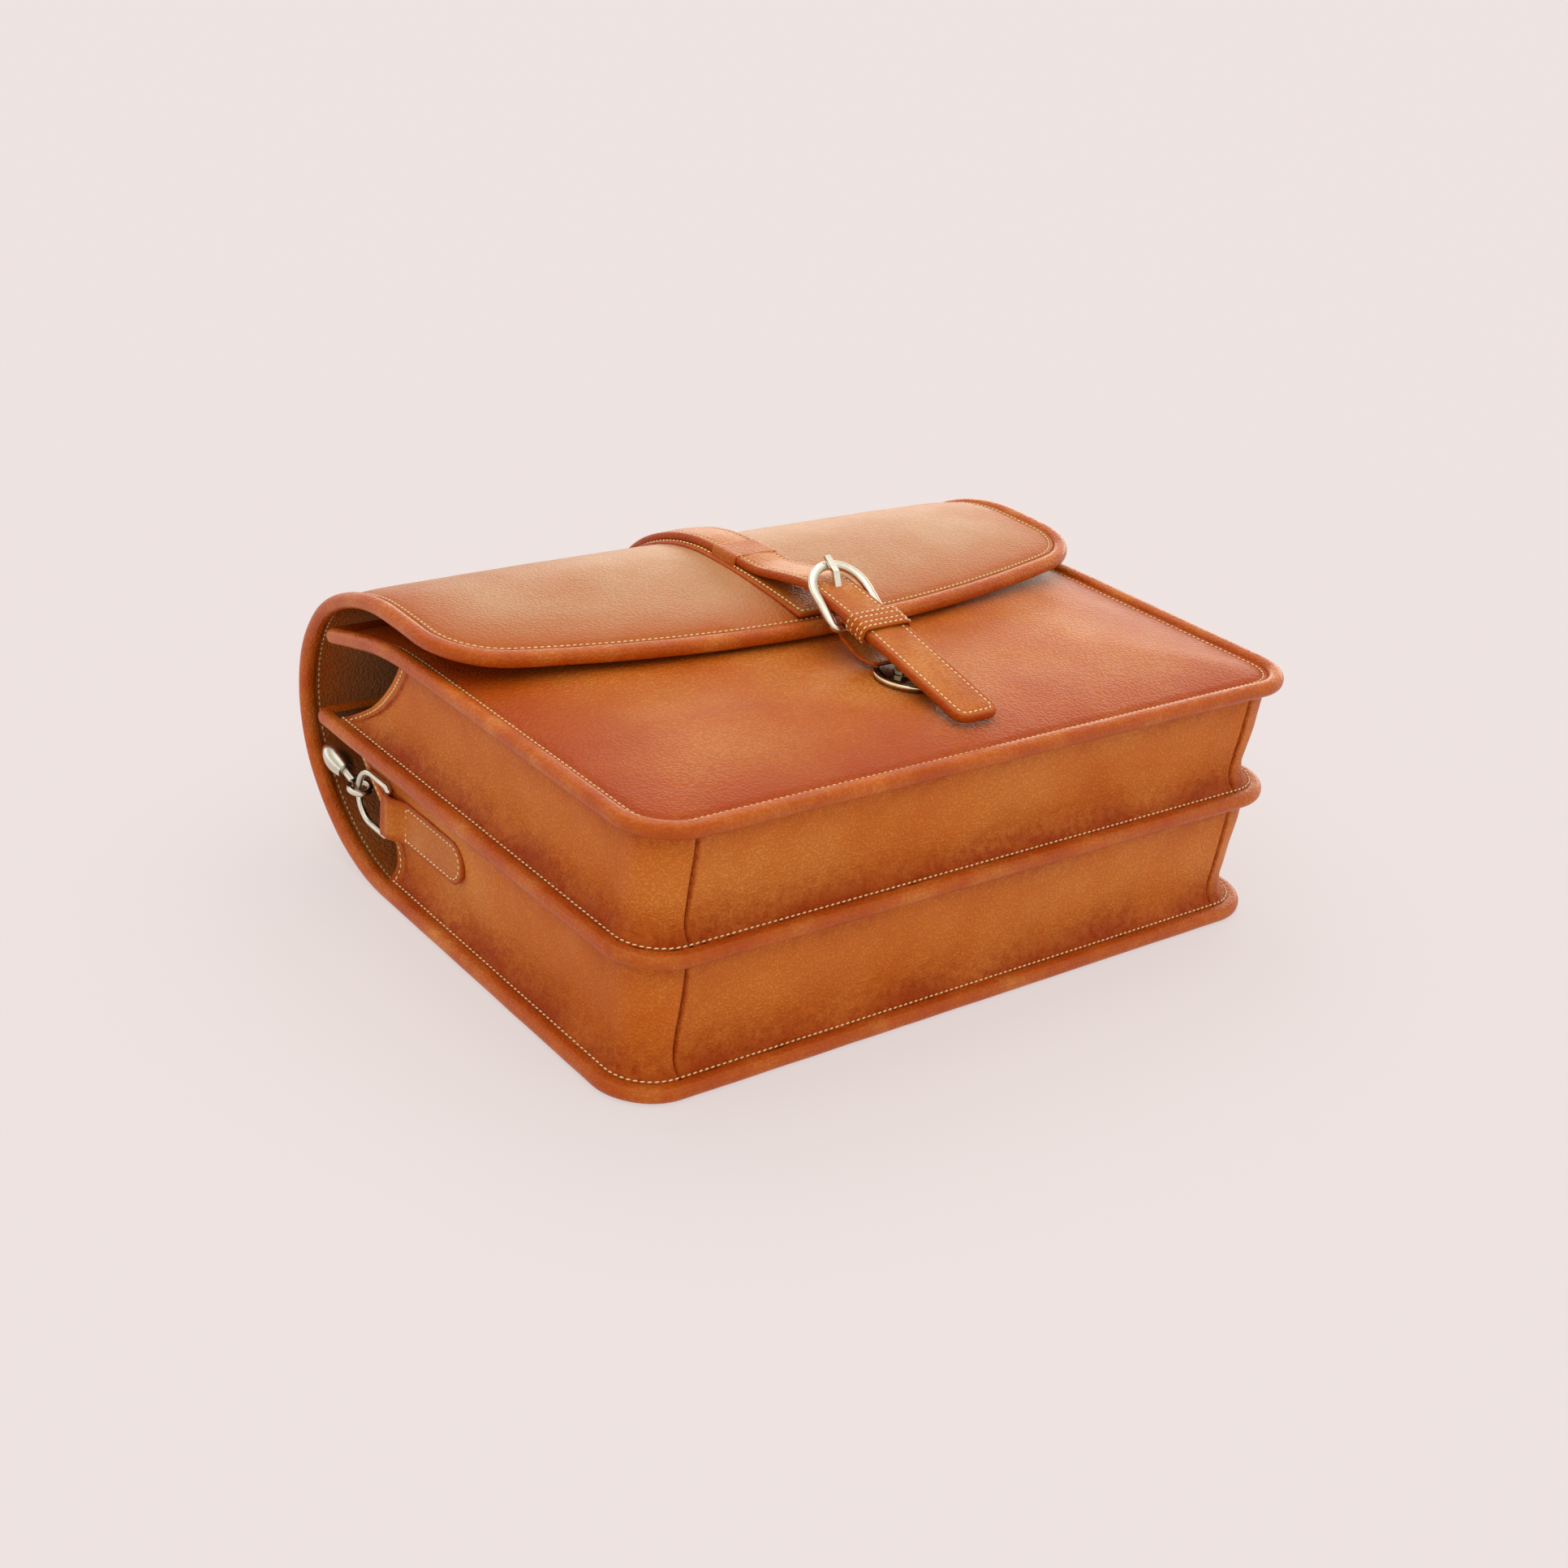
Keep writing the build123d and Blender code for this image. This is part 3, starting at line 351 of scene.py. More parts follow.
def stitchTree(look, thread):
    tree = bpy.data.node_groups.new("stitchRow", "GeometryNodeTree")
    tree.interface.new_socket("Geometry", in_out="INPUT", socket_type="NodeSocketGeometry")
    sockets = {}
    for label, value in (("Pitch", look["pitch"]), ("Length", look["length"]), ("Thickness", look["thick"])):
        socket = tree.interface.new_socket(label, in_out="INPUT", socket_type="NodeSocketFloat")
        socket.default_value = value * mm
        sockets[label] = socket.identifier
    tree.interface.new_socket("Geometry", in_out="OUTPUT", socket_type="NodeSocketGeometry")
    make = tree.nodes.new
    join = tree.links.new
    entry, leave = make("NodeGroupInput"), make("NodeGroupOutput")
    curve, even = make("GeometryNodeMeshToCurve"), make("GeometryNodeResampleCurve")
    even.mode = "LENGTH"
    join(entry.outputs["Geometry"], curve.inputs[0])
    join(curve.outputs[0], even.inputs["Curve"])
    join(entry.outputs["Pitch"], even.inputs["Length"])
    ball = make("GeometryNodeMeshUVSphere")
    ball.inputs["Segments"].default_value = 6
    ball.inputs["Rings"].default_value = 4
    ball.inputs["Radius"].default_value = 0.5
    size, shape = make("ShaderNodeCombineXYZ"), make("GeometryNodeTransform")
    join(entry.outputs["Length"], size.inputs[0])
    join(entry.outputs["Thickness"], size.inputs[1])
    join(entry.outputs["Thickness"], size.inputs[2])
    join(ball.outputs["Mesh"], shape.inputs["Geometry"])
    join(size.outputs[0], shape.inputs["Scale"])
    lean = make("GeometryNodeTransform")
    lean.inputs["Rotation"].default_value = (0.0, 0.0, math.radians(look["slant"]))
    join(shape.outputs[0], lean.inputs["Geometry"])
    tangent, up = make("GeometryNodeInputTangent"), make("GeometryNodeInputNamedAttribute")
    up.data_type = "FLOAT_VECTOR"
    up.inputs["Name"].default_value = "up"
    forward, upright = make("FunctionNodeAlignRotationToVector"), make("FunctionNodeAlignRotationToVector")
    forward.axis, upright.axis, upright.pivot_axis = "X", "Z", "X"
    join(tangent.outputs[0], forward.inputs["Vector"])
    join(up.outputs["Attribute"], upright.inputs["Vector"])
    join(forward.outputs[0], upright.inputs["Rotation"])
    place, real = make("GeometryNodeInstanceOnPoints"), make("GeometryNodeRealizeInstances")
    dye = make("GeometryNodeSetMaterial")
    join(even.outputs[0], place.inputs["Points"])
    join(lean.outputs[0], place.inputs["Instance"])
    join(upright.outputs[0], place.inputs["Rotation"])
    join(place.outputs[0], real.inputs[0])
    join(real.outputs[0], dye.inputs["Geometry"])
    dye.inputs["Material"].default_value = thread
    join(dye.outputs[0], leave.inputs[0])
    return tree, sockets


def sew(group, tree, sockets, look, thread):
    # every row of one group becomes one plain mesh of stitches
    points, ups, edges = [], [], []
    for path, up in rows[group]:
        first = len(points)
        points += path.tolist()
        ups += np.broadcast_to(up, path.shape).tolist()
        edges += [(i, i + 1) for i in range(first, len(points) - 1)]
    guide = bpy.data.meshes.new(group + "_guide")
    guide.from_pydata(points, edges, [])
    layer = guide.attributes.new("up", "FLOAT_VECTOR", "POINT")
    layer.data.foreach_set("vector", np.asarray(ups, np.float32).ravel())
    holder = link(group + "_guide", guide)
    modifier = holder.modifiers.new("stitches", "NODES")
    modifier.node_group = tree
    for label, key in (("Pitch", "pitch"), ("Length", "length"), ("Thickness", "thick")):
        modifier[sockets[label]] = look[key] * mm
    bpy.context.view_layer.update()
    evaluated = holder.evaluated_get(bpy.context.evaluated_depsgraph_get())
    mesh = bpy.data.meshes.new_from_object(evaluated)
    bpy.data.objects.remove(holder)
    mesh.name = group
    mesh.shade_smooth()
    if not mesh.materials:
        mesh.materials.append(thread)
    return link(group, mesh)


def newMaterial(name):
    material = bpy.data.materials.new(name)
    material.use_nodes = True
    return material, material.node_tree, material.node_tree.nodes["Principled BSDF"]


def fill(node, values):
    for label, value in values.items():
        node.inputs[label].default_value = value


def feed(tree, value, socket):
    # a number or colour is set on the socket, an output is joined to it
    if isinstance(value, (int, float)):
        socket.default_value = value
    elif isinstance(value, tuple):
        socket.default_value = (*value, 1.0)
    else:
        tree.links.new(value, socket)


def noiseNode(tree, vector, scale, detail, rough=0.55):
    texture = tree.nodes.new("ShaderNodeTexNoise")
    fill(texture, {"Scale": scale, "Detail": detail, "Roughness": rough})
    tree.links.new(vector, texture.inputs["Vector"])
    return texture.outputs["Fac"]


def ramp(tree, factor, stops):
    node = tree.nodes.new("ShaderNodeValToRGB")
    elements = node.color_ramp.elements
    while len(elements) < len(stops):
        elements.new(0.5)
    for element, (position, colour) in zip(elements, stops):
        element.position = position
        element.color = (*colour, 1.0)
    tree.links.new(factor, node.inputs["Fac"])
    return node.outputs["Color"]


def mixColour(tree, factor, a, b):
    node = tree.nodes.new("ShaderNodeMix")
    node.data_type = "RGBA"
    for index, value in ((0, factor), (6, a), (7, b)):
        feed(tree, value, node.inputs[index])
    return node.outputs[2]


def mathNode(tree, operation, a, b):
    node = tree.nodes.new("ShaderNodeMath")
    node.operation = operation
    for socket, value in zip(node.inputs, (a, b)):
        feed(tree, value, socket)
    return node.outputs[0]


def addRelief(tree, shader, height, strength, distance):
    bump = tree.nodes.new("ShaderNodeBump")
    fill(bump, {"Strength": strength, "Distance": distance})
    tree.links.new(height, bump.inputs["Height"])
    tree.links.new(bump.outputs[0], shader.inputs["Normal"])


def varyRoughness(tree, shader, factor, low, high):
    gloss = tree.nodes.new("ShaderNodeMapRange")
    fill(gloss, {"To Min": low, "To Max": high})
    tree.links.new(factor, gloss.inputs["Value"])
    tree.links.new(gloss.outputs[0], shader.inputs["Roughness"])


def objectPlace(tree):
    return tree.nodes.new("ShaderNodeTexCoord").outputs["Object"]


black, white = (0.0, 0.0, 0.0), (1.0, 1.0, 1.0)
grain = {
    "wobble": (0.0009, 0.0009, 0.0009),  # how far the cells are pushed about, in metres
    "smooth": 0.35,
    "relief": 0.0003,  # depth of the relief at full strength, in metres
    "fine": 0.35,  # share of the finest grain in it
}


def leatherMaterial(name, look):
    # pebbled, burnished leather: mottled colour, darker where the vertex mask is set: rubbed edges and seams,
    # and painted shade beside the rolls
    material, tree, shader = newMaterial(name)
    join = tree.links.new
    where = objectPlace(tree)
    cloud = noiseNode(tree, where, look["cloudScale"], 4.0)
    body = ramp(tree, cloud, ((0.32, look["deep"]), (0.5, look["mid"]), (0.72, look["light"])))
    attribute = tree.nodes.new("ShaderNodeAttribute")
    attribute.attribute_name = "burnish_and_shade"
    rubbedAndShaded = attribute.outputs["Fac"]
    blotches = noiseNode(tree, where, look["cloudScale"] * 2.3, 3.0)
    patchy = mathNode(tree, "MULTIPLY", rubbedAndShaded, ramp(tree, blotches, ((0.2, (0.55, 0.55, 0.55)), (0.7, white))))
    tone = mixColour(tree, patchy, body, look["rubbedAndShaded"])
    # the pebbled cells, pushed about so that no row of them lines up
    wobble = tree.nodes.new("ShaderNodeTexNoise")
    wobble.inputs["Scale"].default_value = look["grainScale"] * 0.6
    join(where, wobble.inputs["Vector"])
    warp = tree.nodes.new("ShaderNodeVectorMath")
    warp.operation = "MULTIPLY_ADD"
    join(wobble.outputs["Color"], warp.inputs[0])
    warp.inputs[1].default_value = grain["wobble"]
    join(where, warp.inputs[2])
    cells = tree.nodes.new("ShaderNodeTexVoronoi")
    cells.feature = "SMOOTH_F1"
    fill(cells, {"Scale": look["grainScale"], "Smoothness": grain["smooth"], "Randomness": 1.0})
    join(warp.outputs[0], cells.inputs["Vector"])
    pebbles = ramp(tree, cells.outputs["Distance"], ((0.25, white), (0.62, black)))
    pitted = mathNode(tree, "MULTIPLY", mathNode(tree, "SUBTRACT", 1.0, pebbles), look["pitShade"])
    tone = mixColour(tree, pitted, tone, look["rubbedAndShaded"])
    # creases, only where the mask is set; the crease troughs are darkened as painted shade
    crease = noiseNode(tree, warp.outputs[0], look["creaseScale"], 5.0, 0.6)
    creaseShade = mathNode(tree, "MULTIPLY", ramp(tree, crease, ((0.40, white), (0.56, black))), rubbedAndShaded)
    creaseShade = mathNode(tree, "MULTIPLY", creaseShade, look["creaseShade"])
    join(mixColour(tree, creaseShade, tone, look["rubbedAndShaded"]), shader.inputs["Base Color"])
    fine = noiseNode(tree, where, look["grainScale"] * 3.1, 2.0)
    height = mathNode(tree, "ADD", pebbles, mathNode(tree, "MULTIPLY", fine, grain["fine"]))
    worn = mathNode(tree, "MULTIPLY", rubbedAndShaded, look["crease"])
    height = mathNode(tree, "ADD", height, mathNode(tree, "MULTIPLY", crease, worn))
    addRelief(tree, shader, height, look["bump"], grain["relief"])
    varyRoughness(tree, shader, noiseNode(tree, where, 60.0, 3.0), look["rough"] - 0.07, look["rough"] + 0.09)
    fill(shader, {"Specular IOR Level": look["specular"], "Specular Tint": (1.0, 0.55, 0.28, 1.0),
                  "Coat Weight": look["coat"], "Coat Roughness": look["coatRough"]})
    return material


def clothMaterial(name, dark, light, scale, rough=0.95, sheen=0.3):
    material, tree, shader = newMaterial(name)
    where = objectPlace(tree)
    nap = noiseNode(tree, where, scale, 5.0, 0.7)
    broad = noiseNode(tree, where, scale / 14, 3.0)
    blend = mathNode(tree, "ADD", mathNode(tree, "MULTIPLY", nap, 0.6), mathNode(tree, "MULTIPLY", broad, 0.4))
    tree.links.new(ramp(tree, blend, ((0.35, dark), (0.65, light))), shader.inputs["Base Color"])
    addRelief(tree, shader, nap, 0.5, 0.0003)
    fill(shader, {"Roughness": rough, "Sheen Weight": sheen, "Sheen Roughness": 0.6})
    return material


def metalMaterial(name, dull, bright, rough, brush):
    material, tree, shader = newMaterial(name)
    where = objectPlace(tree)
    smear = noiseNode(tree, where, 90.0, 4.0)
    tree.links.new(ramp(tree, smear, ((0.3, dull), (0.7, bright))), shader.inputs["Base Color"])
    varyRoughness(tree, shader, noiseNode(tree, where, 400.0, 3.0), rough * 0.75, rough * 1.3)
    addRelief(tree, shader, noiseNode(tree, where, 1400.0, 2.0), brush, 0.00005)
    shader.inputs["Metallic"].default_value = 1.0
    return material


panelLook = {
    "deep": (0.45, 0.090, 0.006), "mid": (0.53, 0.145, 0.015), "light": (0.58, 0.21, 0.035),
    "rubbedAndShaded": (0.37, 0.045, 0.001),
    "cloudScale": 14.0, "grainScale": 640.0, "pitShade": 0.5, "bump": 0.9, "rough": 0.38, "specular": 0.24,
    "coat": 0.04, "coatRough": 0.32, "crease": 1.2, "creaseScale": 300.0, "creaseShade": 0.4,
}
gussetLook = {
    **panelLook,
    "deep": (0.60, 0.145, 0.012), "mid": (0.68, 0.195, 0.025), "light": (0.74, 0.27, 0.05),
    "rubbedAndShaded": (0.32, 0.036, 0.001),
    "pitShade": 0.36, "grainScale": 700.0, "bump": 1.0, "rough": 0.44, "coat": 0.0,
    "crease": 3.2, "creaseScale": 240.0, "creaseShade": 0.9,
}
# the panel's leather, made paler and tanner here as painted sheen of the light on the flap's top
flapSheenLook = {
    **panelLook,
    "deep": (0.44, 0.17, 0.055), "mid": (0.47, 0.225, 0.095), "light": (0.52, 0.29, 0.145),
    "rubbedAndShaded": (0.42, 0.085, 0.006),
    "pitShade": 0.3,
}
rollLook = {
    **panelLook,
    "deep": (0.48, 0.095, 0.006), "mid": (0.60, 0.155, 0.014), "light": (0.72, 0.28, 0.045),
    "pitShade": 0.4, "cloudScale": 45.0, "bump": 0.7, "rough": 0.36, "coat": 0.2, "coatRough": 0.16,
}
strapLook = {
    **rollLook,
    "deep": (0.44, 0.10, 0.007), "mid": (0.52, 0.16, 0.016), "light": (0.60, 0.235, 0.045),
    "cloudScale": 30.0, "bump": 0.6, "coat": 0.06,
}
liningLook = {
    **panelLook,
    "deep": (0.10, 0.035, 0.012), "mid": (0.13, 0.05, 0.018), "light": (0.18, 0.075, 0.03),
    "rubbedAndShaded": (0.07, 0.02, 0.008),
    "coat": 0.0, "rough": 0.62,
}
finishes = {
    "panel": leatherMaterial("burnished_panel_leather", panelLook),
    # the long skin's leather: its pale tone is painted sheen
    "flap": leatherMaterial("flap_leather_painted_sheen", flapSheenLook),
    "gusset": leatherMaterial("soft_gusset_leather", gussetLook),
    "roll": leatherMaterial("edge_roll_leather", rollLook),
    "strap": leatherMaterial("strap_leather", strapLook),
    "inside": leatherMaterial("lining_leather", liningLook),
    "suede": clothMaterial("brown_suede", (0.022, 0.007, 0.003), (0.060, 0.018, 0.006), 900.0),
    "lining": clothMaterial("olive_lining", (0.13, 0.12, 0.035), (0.22, 0.20, 0.07), 1500.0, 0.85, 0.1),
    "board": clothMaterial("pressed_board", (0.20, 0.16, 0.11), (0.30, 0.25, 0.18), 500.0, 0.9, 0.0),
    "foam": clothMaterial("padding_foam", (0.58, 0.55, 0.46), (0.72, 0.70, 0.62), 800.0, 0.95, 0.1),
    "cord": clothMaterial("rolled_cord", (0.45, 0.36, 0.22), (0.62, 0.52, 0.36), 600.0, 0.9, 0.0),
    "thread": clothMaterial("waxed_thread", (0.80, 0.55, 0.20), (0.95, 0.78, 0.42), 2500.0, 0.5, 0.0),
    "nickel": metalMaterial("satin_nickel", (0.62, 0.58, 0.48), (0.80, 0.76, 0.66), 0.24, 0.04),
    "chrome": metalMaterial("dark_chrome", (0.14, 0.115, 0.08), (0.26, 0.21, 0.14), 0.10, 0.01),
    "rim": metalMaterial("bright_chrome", (0.80, 0.70, 0.46), (0.92, 0.84, 0.62), 0.10, 0.01),
}
print("materials made:", len(finishes))


def paint(mesh, *names):
    mesh.materials.clear()
    for name in names:
        mesh.materials.append(finishes[name])


def dress(obj, finish, slot, *others):
    # gives a piece its materials; the slot argument is not used
    paint(obj.data, finish, *others)
    return obj


def seat(piece, body, *nodes):
    # the piece moves with a body and stands in for these nodes of the frame
    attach(piece, body)
    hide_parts(*nodes)


# Back panel, spine and flap are one long skin, made in two lengths.
skinShape = {
    "underRoll": 7.0,  # the skin starts this far inside the outline, under the edge roll
    "freeMiddle": 135.0,  # the flap's free edge at the centre
    "freeSide": 166.0,
    "flapCorner": 44.0,
    "thick": 4.2,  # leather, glue and lining together
    # height of the face at distances from the outline: up over the cord, down at the seam, up again
    "profile": ((0, -3.2), (7, -3.2), (7.9, -1.7), (8.7, -1.15), (9.5, -1.7), (10.4, -2.2), (11.6, -1.75),
                (14, -1.1), (20, -0.5), (32, 0.0), (70, 0.5)),
    "wave": 0.5,  # height of the slow unevenness of the leather
    "border": 18,  # width of the leather border sewn round the suede inside
}
edgeInsets = np.array([0, 0.5, 0.9, 1.3, 1.7, 2.1, 2.5, 2.9, 3.4, 4.0, 4.7, 5.6, 7, 9, 12, 16, 21, 27, 34, 42])


def acrossLines(half, start, step=8.0):
    # columns across a panel, close together near its sides
    near = edgeInsets[edgeInsets < half * 0.5]
    inner = np.linspace(-(half - start - near[-1]), half - start - near[-1], max(3, int(2 * half / step)))
    return np.concatenate([-(half - start - near), inner[1:-1], (half - start - near)[::-1]])


def flapFreeEdge(inset=0.0):
    # the free edge in plan, from the left side to the right side, in (x, s)
    h, side, middle, r = bag["half"], skinShape["freeSide"], skinShape["freeMiddle"], skinShape["flapCorner"]
    bow = (h * h + (side - middle) ** 2) / (2 * (side - middle))
    centre = np.array([0.0, middle + bow])
    cornerX = h - r
    cornerY = centre[1] - math.sqrt((bow - r) ** 2 - cornerX**2)
    lean = math.degrees(math.atan2(cornerY - centre[1], cornerX))
    right = arc((cornerX, cornerY), r - inset, 0.0, lean)
    bottom = arc(centre, bow - inset, lean, -180.0 - lean, 3.0)
    left = arc((-cornerX, cornerY), r - inset, -180.0 - lean, -180.0)
    plan = np.array(right + bottom[1:-1] + left)[::-1]
    return np.stack([plan[:, 0], alongFlap(plan[:, 1])], -1)


def bottomEdgeCurve(inset=0.0):
    # the bottom edge with its round corners, from the left side to the right side, in (x, s)
    h, r = bag["half"], bag["corner"]
    left = arc((-(h - r), r), r - inset, 180.0, 270.0)
    right = arc((h - r, r), r - inset, 270.0, 360.0)
    return np.array(left + right)


# the outline of the long skin, as one open run through the bottom edge and one through the free edge
sides = [(-bag["half"], spineMiddle)], [(bag["half"], spineMiddle)]
bottomRun = np.concatenate([sides[0], bottomEdgeCurve(), sides[1]])
freeRun = np.concatenate([sides[0], flapFreeEdge(), sides[1]])
wholeOutline = resample(np.concatenate([bottomRun, freeRun[::-1]]), 1.5, True)
profileAt, profileHeight = np.array(skinShape["profile"]).T


def longSkin(name, s):
    # part of the long skin, for an array of rows s (rows, columns) over the columns
    x = np.broadcast_to(skinColumns, s.shape)
    inside = distanceTo(wholeOutline, x, s)
    points, normals = curveSurface(x, s)
    height = np.interp(inside, profileAt, profileHeight)
    slow = slowWave(x, s, (70.0, 3.0), (28.0, 9.0), 0.5)
    height = height + skinShape["wave"] * slow * np.clip((inside - 12) / 30, 0, 1)
    outer = points + normals * height[..., None]
    inner = points - normals * skinShape["thick"]
    rubbedAndShaded = np.clip(1.15 - (inside - 6) / 40, 0, 1) ** 1.4
    border = inside < skinShape["border"]
    return dress(shell(name, outer, inner, rubbedAndShaded, 50.0, border), "flap", "tan_leather", "suede", "roll")


skinColumns = acrossLines(bag["half"], skinShape["underRoll"])
lowLimit = np.interp(skinColumns, *bottomEdgeCurve(skinShape["underRoll"]).T)
highLimit = np.interp(skinColumns, *flapFreeEdge(skinShape["underRoll"]).T)
nearSeam = np.array([9.0, 6.0, 4.0, 2.5, 1.5, 0.8, 0.3, 0.0])


def rowsBetween(low, high, fine, end, step):
    # rows from each column's low limit to the high one, fine at the first end and close at the second
    first = low[None] + fine[:, None]
    last = np.broadcast_to(high[None], low[None].shape) - end[:, None]
    count = int((last[0] - first[-1]).mean() / step)
    share = np.linspace(0, 1, max(3, count))[1:-1, None]
    return np.concatenate([first, first[-1] + share * (last[0] - first[-1]), last])


backRows = rowsBetween(lowLimit, np.full_like(lowLimit, spineMiddle), edgeInsets, nearSeam, 4.5)
flapRows = rowsBetween(-highLimit, np.full_like(highLimit, -spineMiddle), edgeInsets, nearSeam, 4.5)
backSkin = longSkin("back_skin", backRows)
flapSkin = longSkin("flap_skin", -flapRows[::-1])
print("long skin made")


def bendPoints(angle, reach):
    # where a bend starts and ends, either side of an angle on the middle stretch
    middle = onCircle(midCentre, sideCurve["midRadius"], angle)
    turn = math.radians(angle)
    along = np.array([-math.sin(turn), math.cos(turn)]) * reach
    start, end = middle - along, middle + along
    return [tuple(toFrame((0.0, p[0], p[1]))) for p in (start, end)]


bends = {
    "bag": ("bag", "spine", *bendPoints(sideCurve["lowEnd"], 15.0)),
    "flap": ("spine", "flap", *bendPoints(sideCurve["foldAt"], 15.0)),
}


def bend(obj, which):
    a, b, start, end = bends[which]
    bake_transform(obj)
    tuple(start)
    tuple(end)


bend(backSkin, "bag")
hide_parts("back_panel", "spine_leather", "spine_lining")
bend(flapSkin, "flap")
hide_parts("flap_leather", "flap_lining")

rollShape = {"wide": 4.15, "power": 2.25, "bulge": 0.035, "stitchInset": 10.3, "stitchLift": -2.0}


def edgeRoll(name, surface, run, closed=False):
    # a rolled edge along an outline run in (x, s); its outer side touches the outline
    run = resample(run, 3.0, closed)
    inward = leftOf(directions(run, closed))
    half = bag["roll"] / 2
    points, normals = surface(run[:, 0] + inward[:, 0] * half, run[:, 1] + inward[:, 1] * half)
    ahead, _ = surface(run[:, 0], run[:, 1])
    across = points - ahead
    across -= (across * normals).sum(1, keepdims=True) * normals
    across /= np.linalg.norm(across, axis=1, keepdims=True)
    uneven = 1 + rollShape["bulge"] * ripple(points, 22.0, 5.0)
    section = roundSection(rollShape["wide"], half, rollShape["power"], 22)
    centre = points - normals * half
    rubbedAndShaded = 0.55 + 0.45 * ripple(points, 35.0, 8.0)
    return sweep(name, centre, across, normals, section, closed, np.stack([uneven, uneven], -1), rubbedAndShaded)


def insetRun(run, inset, closed=False):
    # the same run moved inward
    run = resample(run, 2.0, closed)
    return run + leftOf(directions(run, closed)) * inset


backRoll = dress(edgeRoll("back_roll", curveSurface, bottomRun), "roll", "tan_leather")
bend(backRoll, "bag")
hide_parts("back_edge_roll", "spine_edge_roll_left", "spine_edge_roll_right")
flapRoll = dress(edgeRoll("flap_roll", curveSurface, freeRun[::-1]), "roll", "tan_leather")
bend(flapRoll, "flap")
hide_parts("flap_edge_roll")
for group, run in (("back_stitches", bottomRun), ("flap_stitches", freeRun[::-1])):
    line = insetRun(run, rollShape["stitchInset"])
    surfaceRow(group, curveSurface, line[:, 0], line[:, 1], rollShape["stitchLift"] + 0.15)
    surfaceRow(group, curveSurface, line[:, 0], line[:, 1], -skinShape["thick"] - 0.15)
print("long edge rolls made")

frontShape = {
    "top": (frontBox[1].y - bottomEdge) / mm - 1.0,
    "droopFrom": 231.0,
    "droop": bag["frontHigh"] - 137.0 + 16.0,
    "droopSoft": 9.0,
    "topCorner": 7.0,
    "face": -2.4,  # the face beside the edge roll, below the roll's top
    "crown": 5.6,
    "crownWidth": 95.0,
    "thick": 3.6,
}


def frontSurface(x, s):
    x, s = paired(x, s)
    f = frontShape
    slope = f["droop"] / (f["top"] - f["droopFrom"])
    u = (s - f["droopFrom"]) / f["droopSoft"]
    fall = slope * f["droopSoft"] * np.logaddexp(0, u)
    grade = slope / (1 + np.exp(-u))
    normals = np.stack([0 * x, grade, 1 + 0 * x], -1)
    normals /= np.linalg.norm(normals, axis=-1, keepdims=True)
    return np.stack([x, s, bag["frontHigh"] - fall], -1), normals


def panelRun(top, corner):
    # a panel's outline as a closed run: bottom corners large, top corners small
    return roundedBox(bag["half"], 0.0, top, bag["corner"], corner)


frontOutline = resample(panelRun(frontShape["top"], frontShape["topCorner"]), 1.5, True)


def frontLayer(name, start, depth, thick, finish, slot, inner):
    # a ply of the front panel under its crowned face
    f = frontShape
    columns = acrossLines(bag["half"], start)
    low = np.interp(columns, *bottomEdgeCurve(start).T)
    high = np.full_like(low, f["top"] - start)
    s = rowsBetween(low, high, edgeInsets, edgeInsets[::-1], 5.0)
    x = np.broadcast_to(columns, s.shape)
    inside = distanceTo(frontOutline, x, s)
    points, normals = frontSurface(x, s)
    ridge = np.interp(inside, profileAt, profileHeight + 1.1) * (inside < 13)
    swell = 1 - (1 - np.clip((inside - 11) / f["crownWidth"], 0, 1)) ** 3
    slow = slowWave(x, s, (60.0, 21.0), (25.0, 12.0), 0.6)
    height = f["face"] + ridge + f["crown"] * swell + 0.45 * slow * np.clip((inside - 12) / 30, 0, 1) - depth
    outer = points + normals * height[..., None]
    back = points + normals * (height - thick)[..., None]
    rubbedAndShaded = np.clip(1.15 - (inside - 8) / 60, 0, 1) ** 1.5
    return dress(shell(name, outer, back, rubbedAndShaded), finish, slot, inner)


frontSkin = frontLayer("front_skin", 7.0, 0.0, 2.0, "panel", "tan_leather", "suede")
padding = frontLayer("front_pad", 13.0, 2.1, 2.4, "foam", "padding", "foam")
stiffener = frontLayer("front_stiffener", 11.0, 4.6, 1.5, "board", "board", "board")
frontInside = frontLayer("front_inside", 9.0, 6.2, 0.8, "lining", "suede_lining", "lining")
for piece, node in ((frontSkin, "front_panel"), (padding, "front_padding"), (stiffener, "front_board"),
                    (frontInside, "front_lining")):
    seat(piece, "bag", node)
frontRun = panelRun(frontShape["top"], frontShape["topCorner"])
frontRoll = dress(edgeRoll("front_roll", frontSurface, frontRun, True), "roll", "tan_leather")
seat(frontRoll, "bag", "front_edge_roll")
line = insetRun(frontRun, rollShape["stitchInset"], True)
line = np.concatenate([line, line[:1]])
surfaceRow("bag_stitches", frontSurface, line[:, 0], line[:, 1], frontShape["face"] - 1.0 + 0.2)
print("front panel made")


def middleSurface(x, s):
    x, s = paired(x, s)
    return np.stack([x, s, 0 * x + bag["middleHigh"]], -1), np.stack([0 * x, 0 * x, 1 + 0 * x], -1)


middleRun = panelRun(bag["top"], frontShape["topCorner"])
middleRoll = dress(edgeRoll("middle_roll", middleSurface, middleRun, True), "roll", "tan_leather")
seat(middleRoll, "bag", "middle_edge_roll")

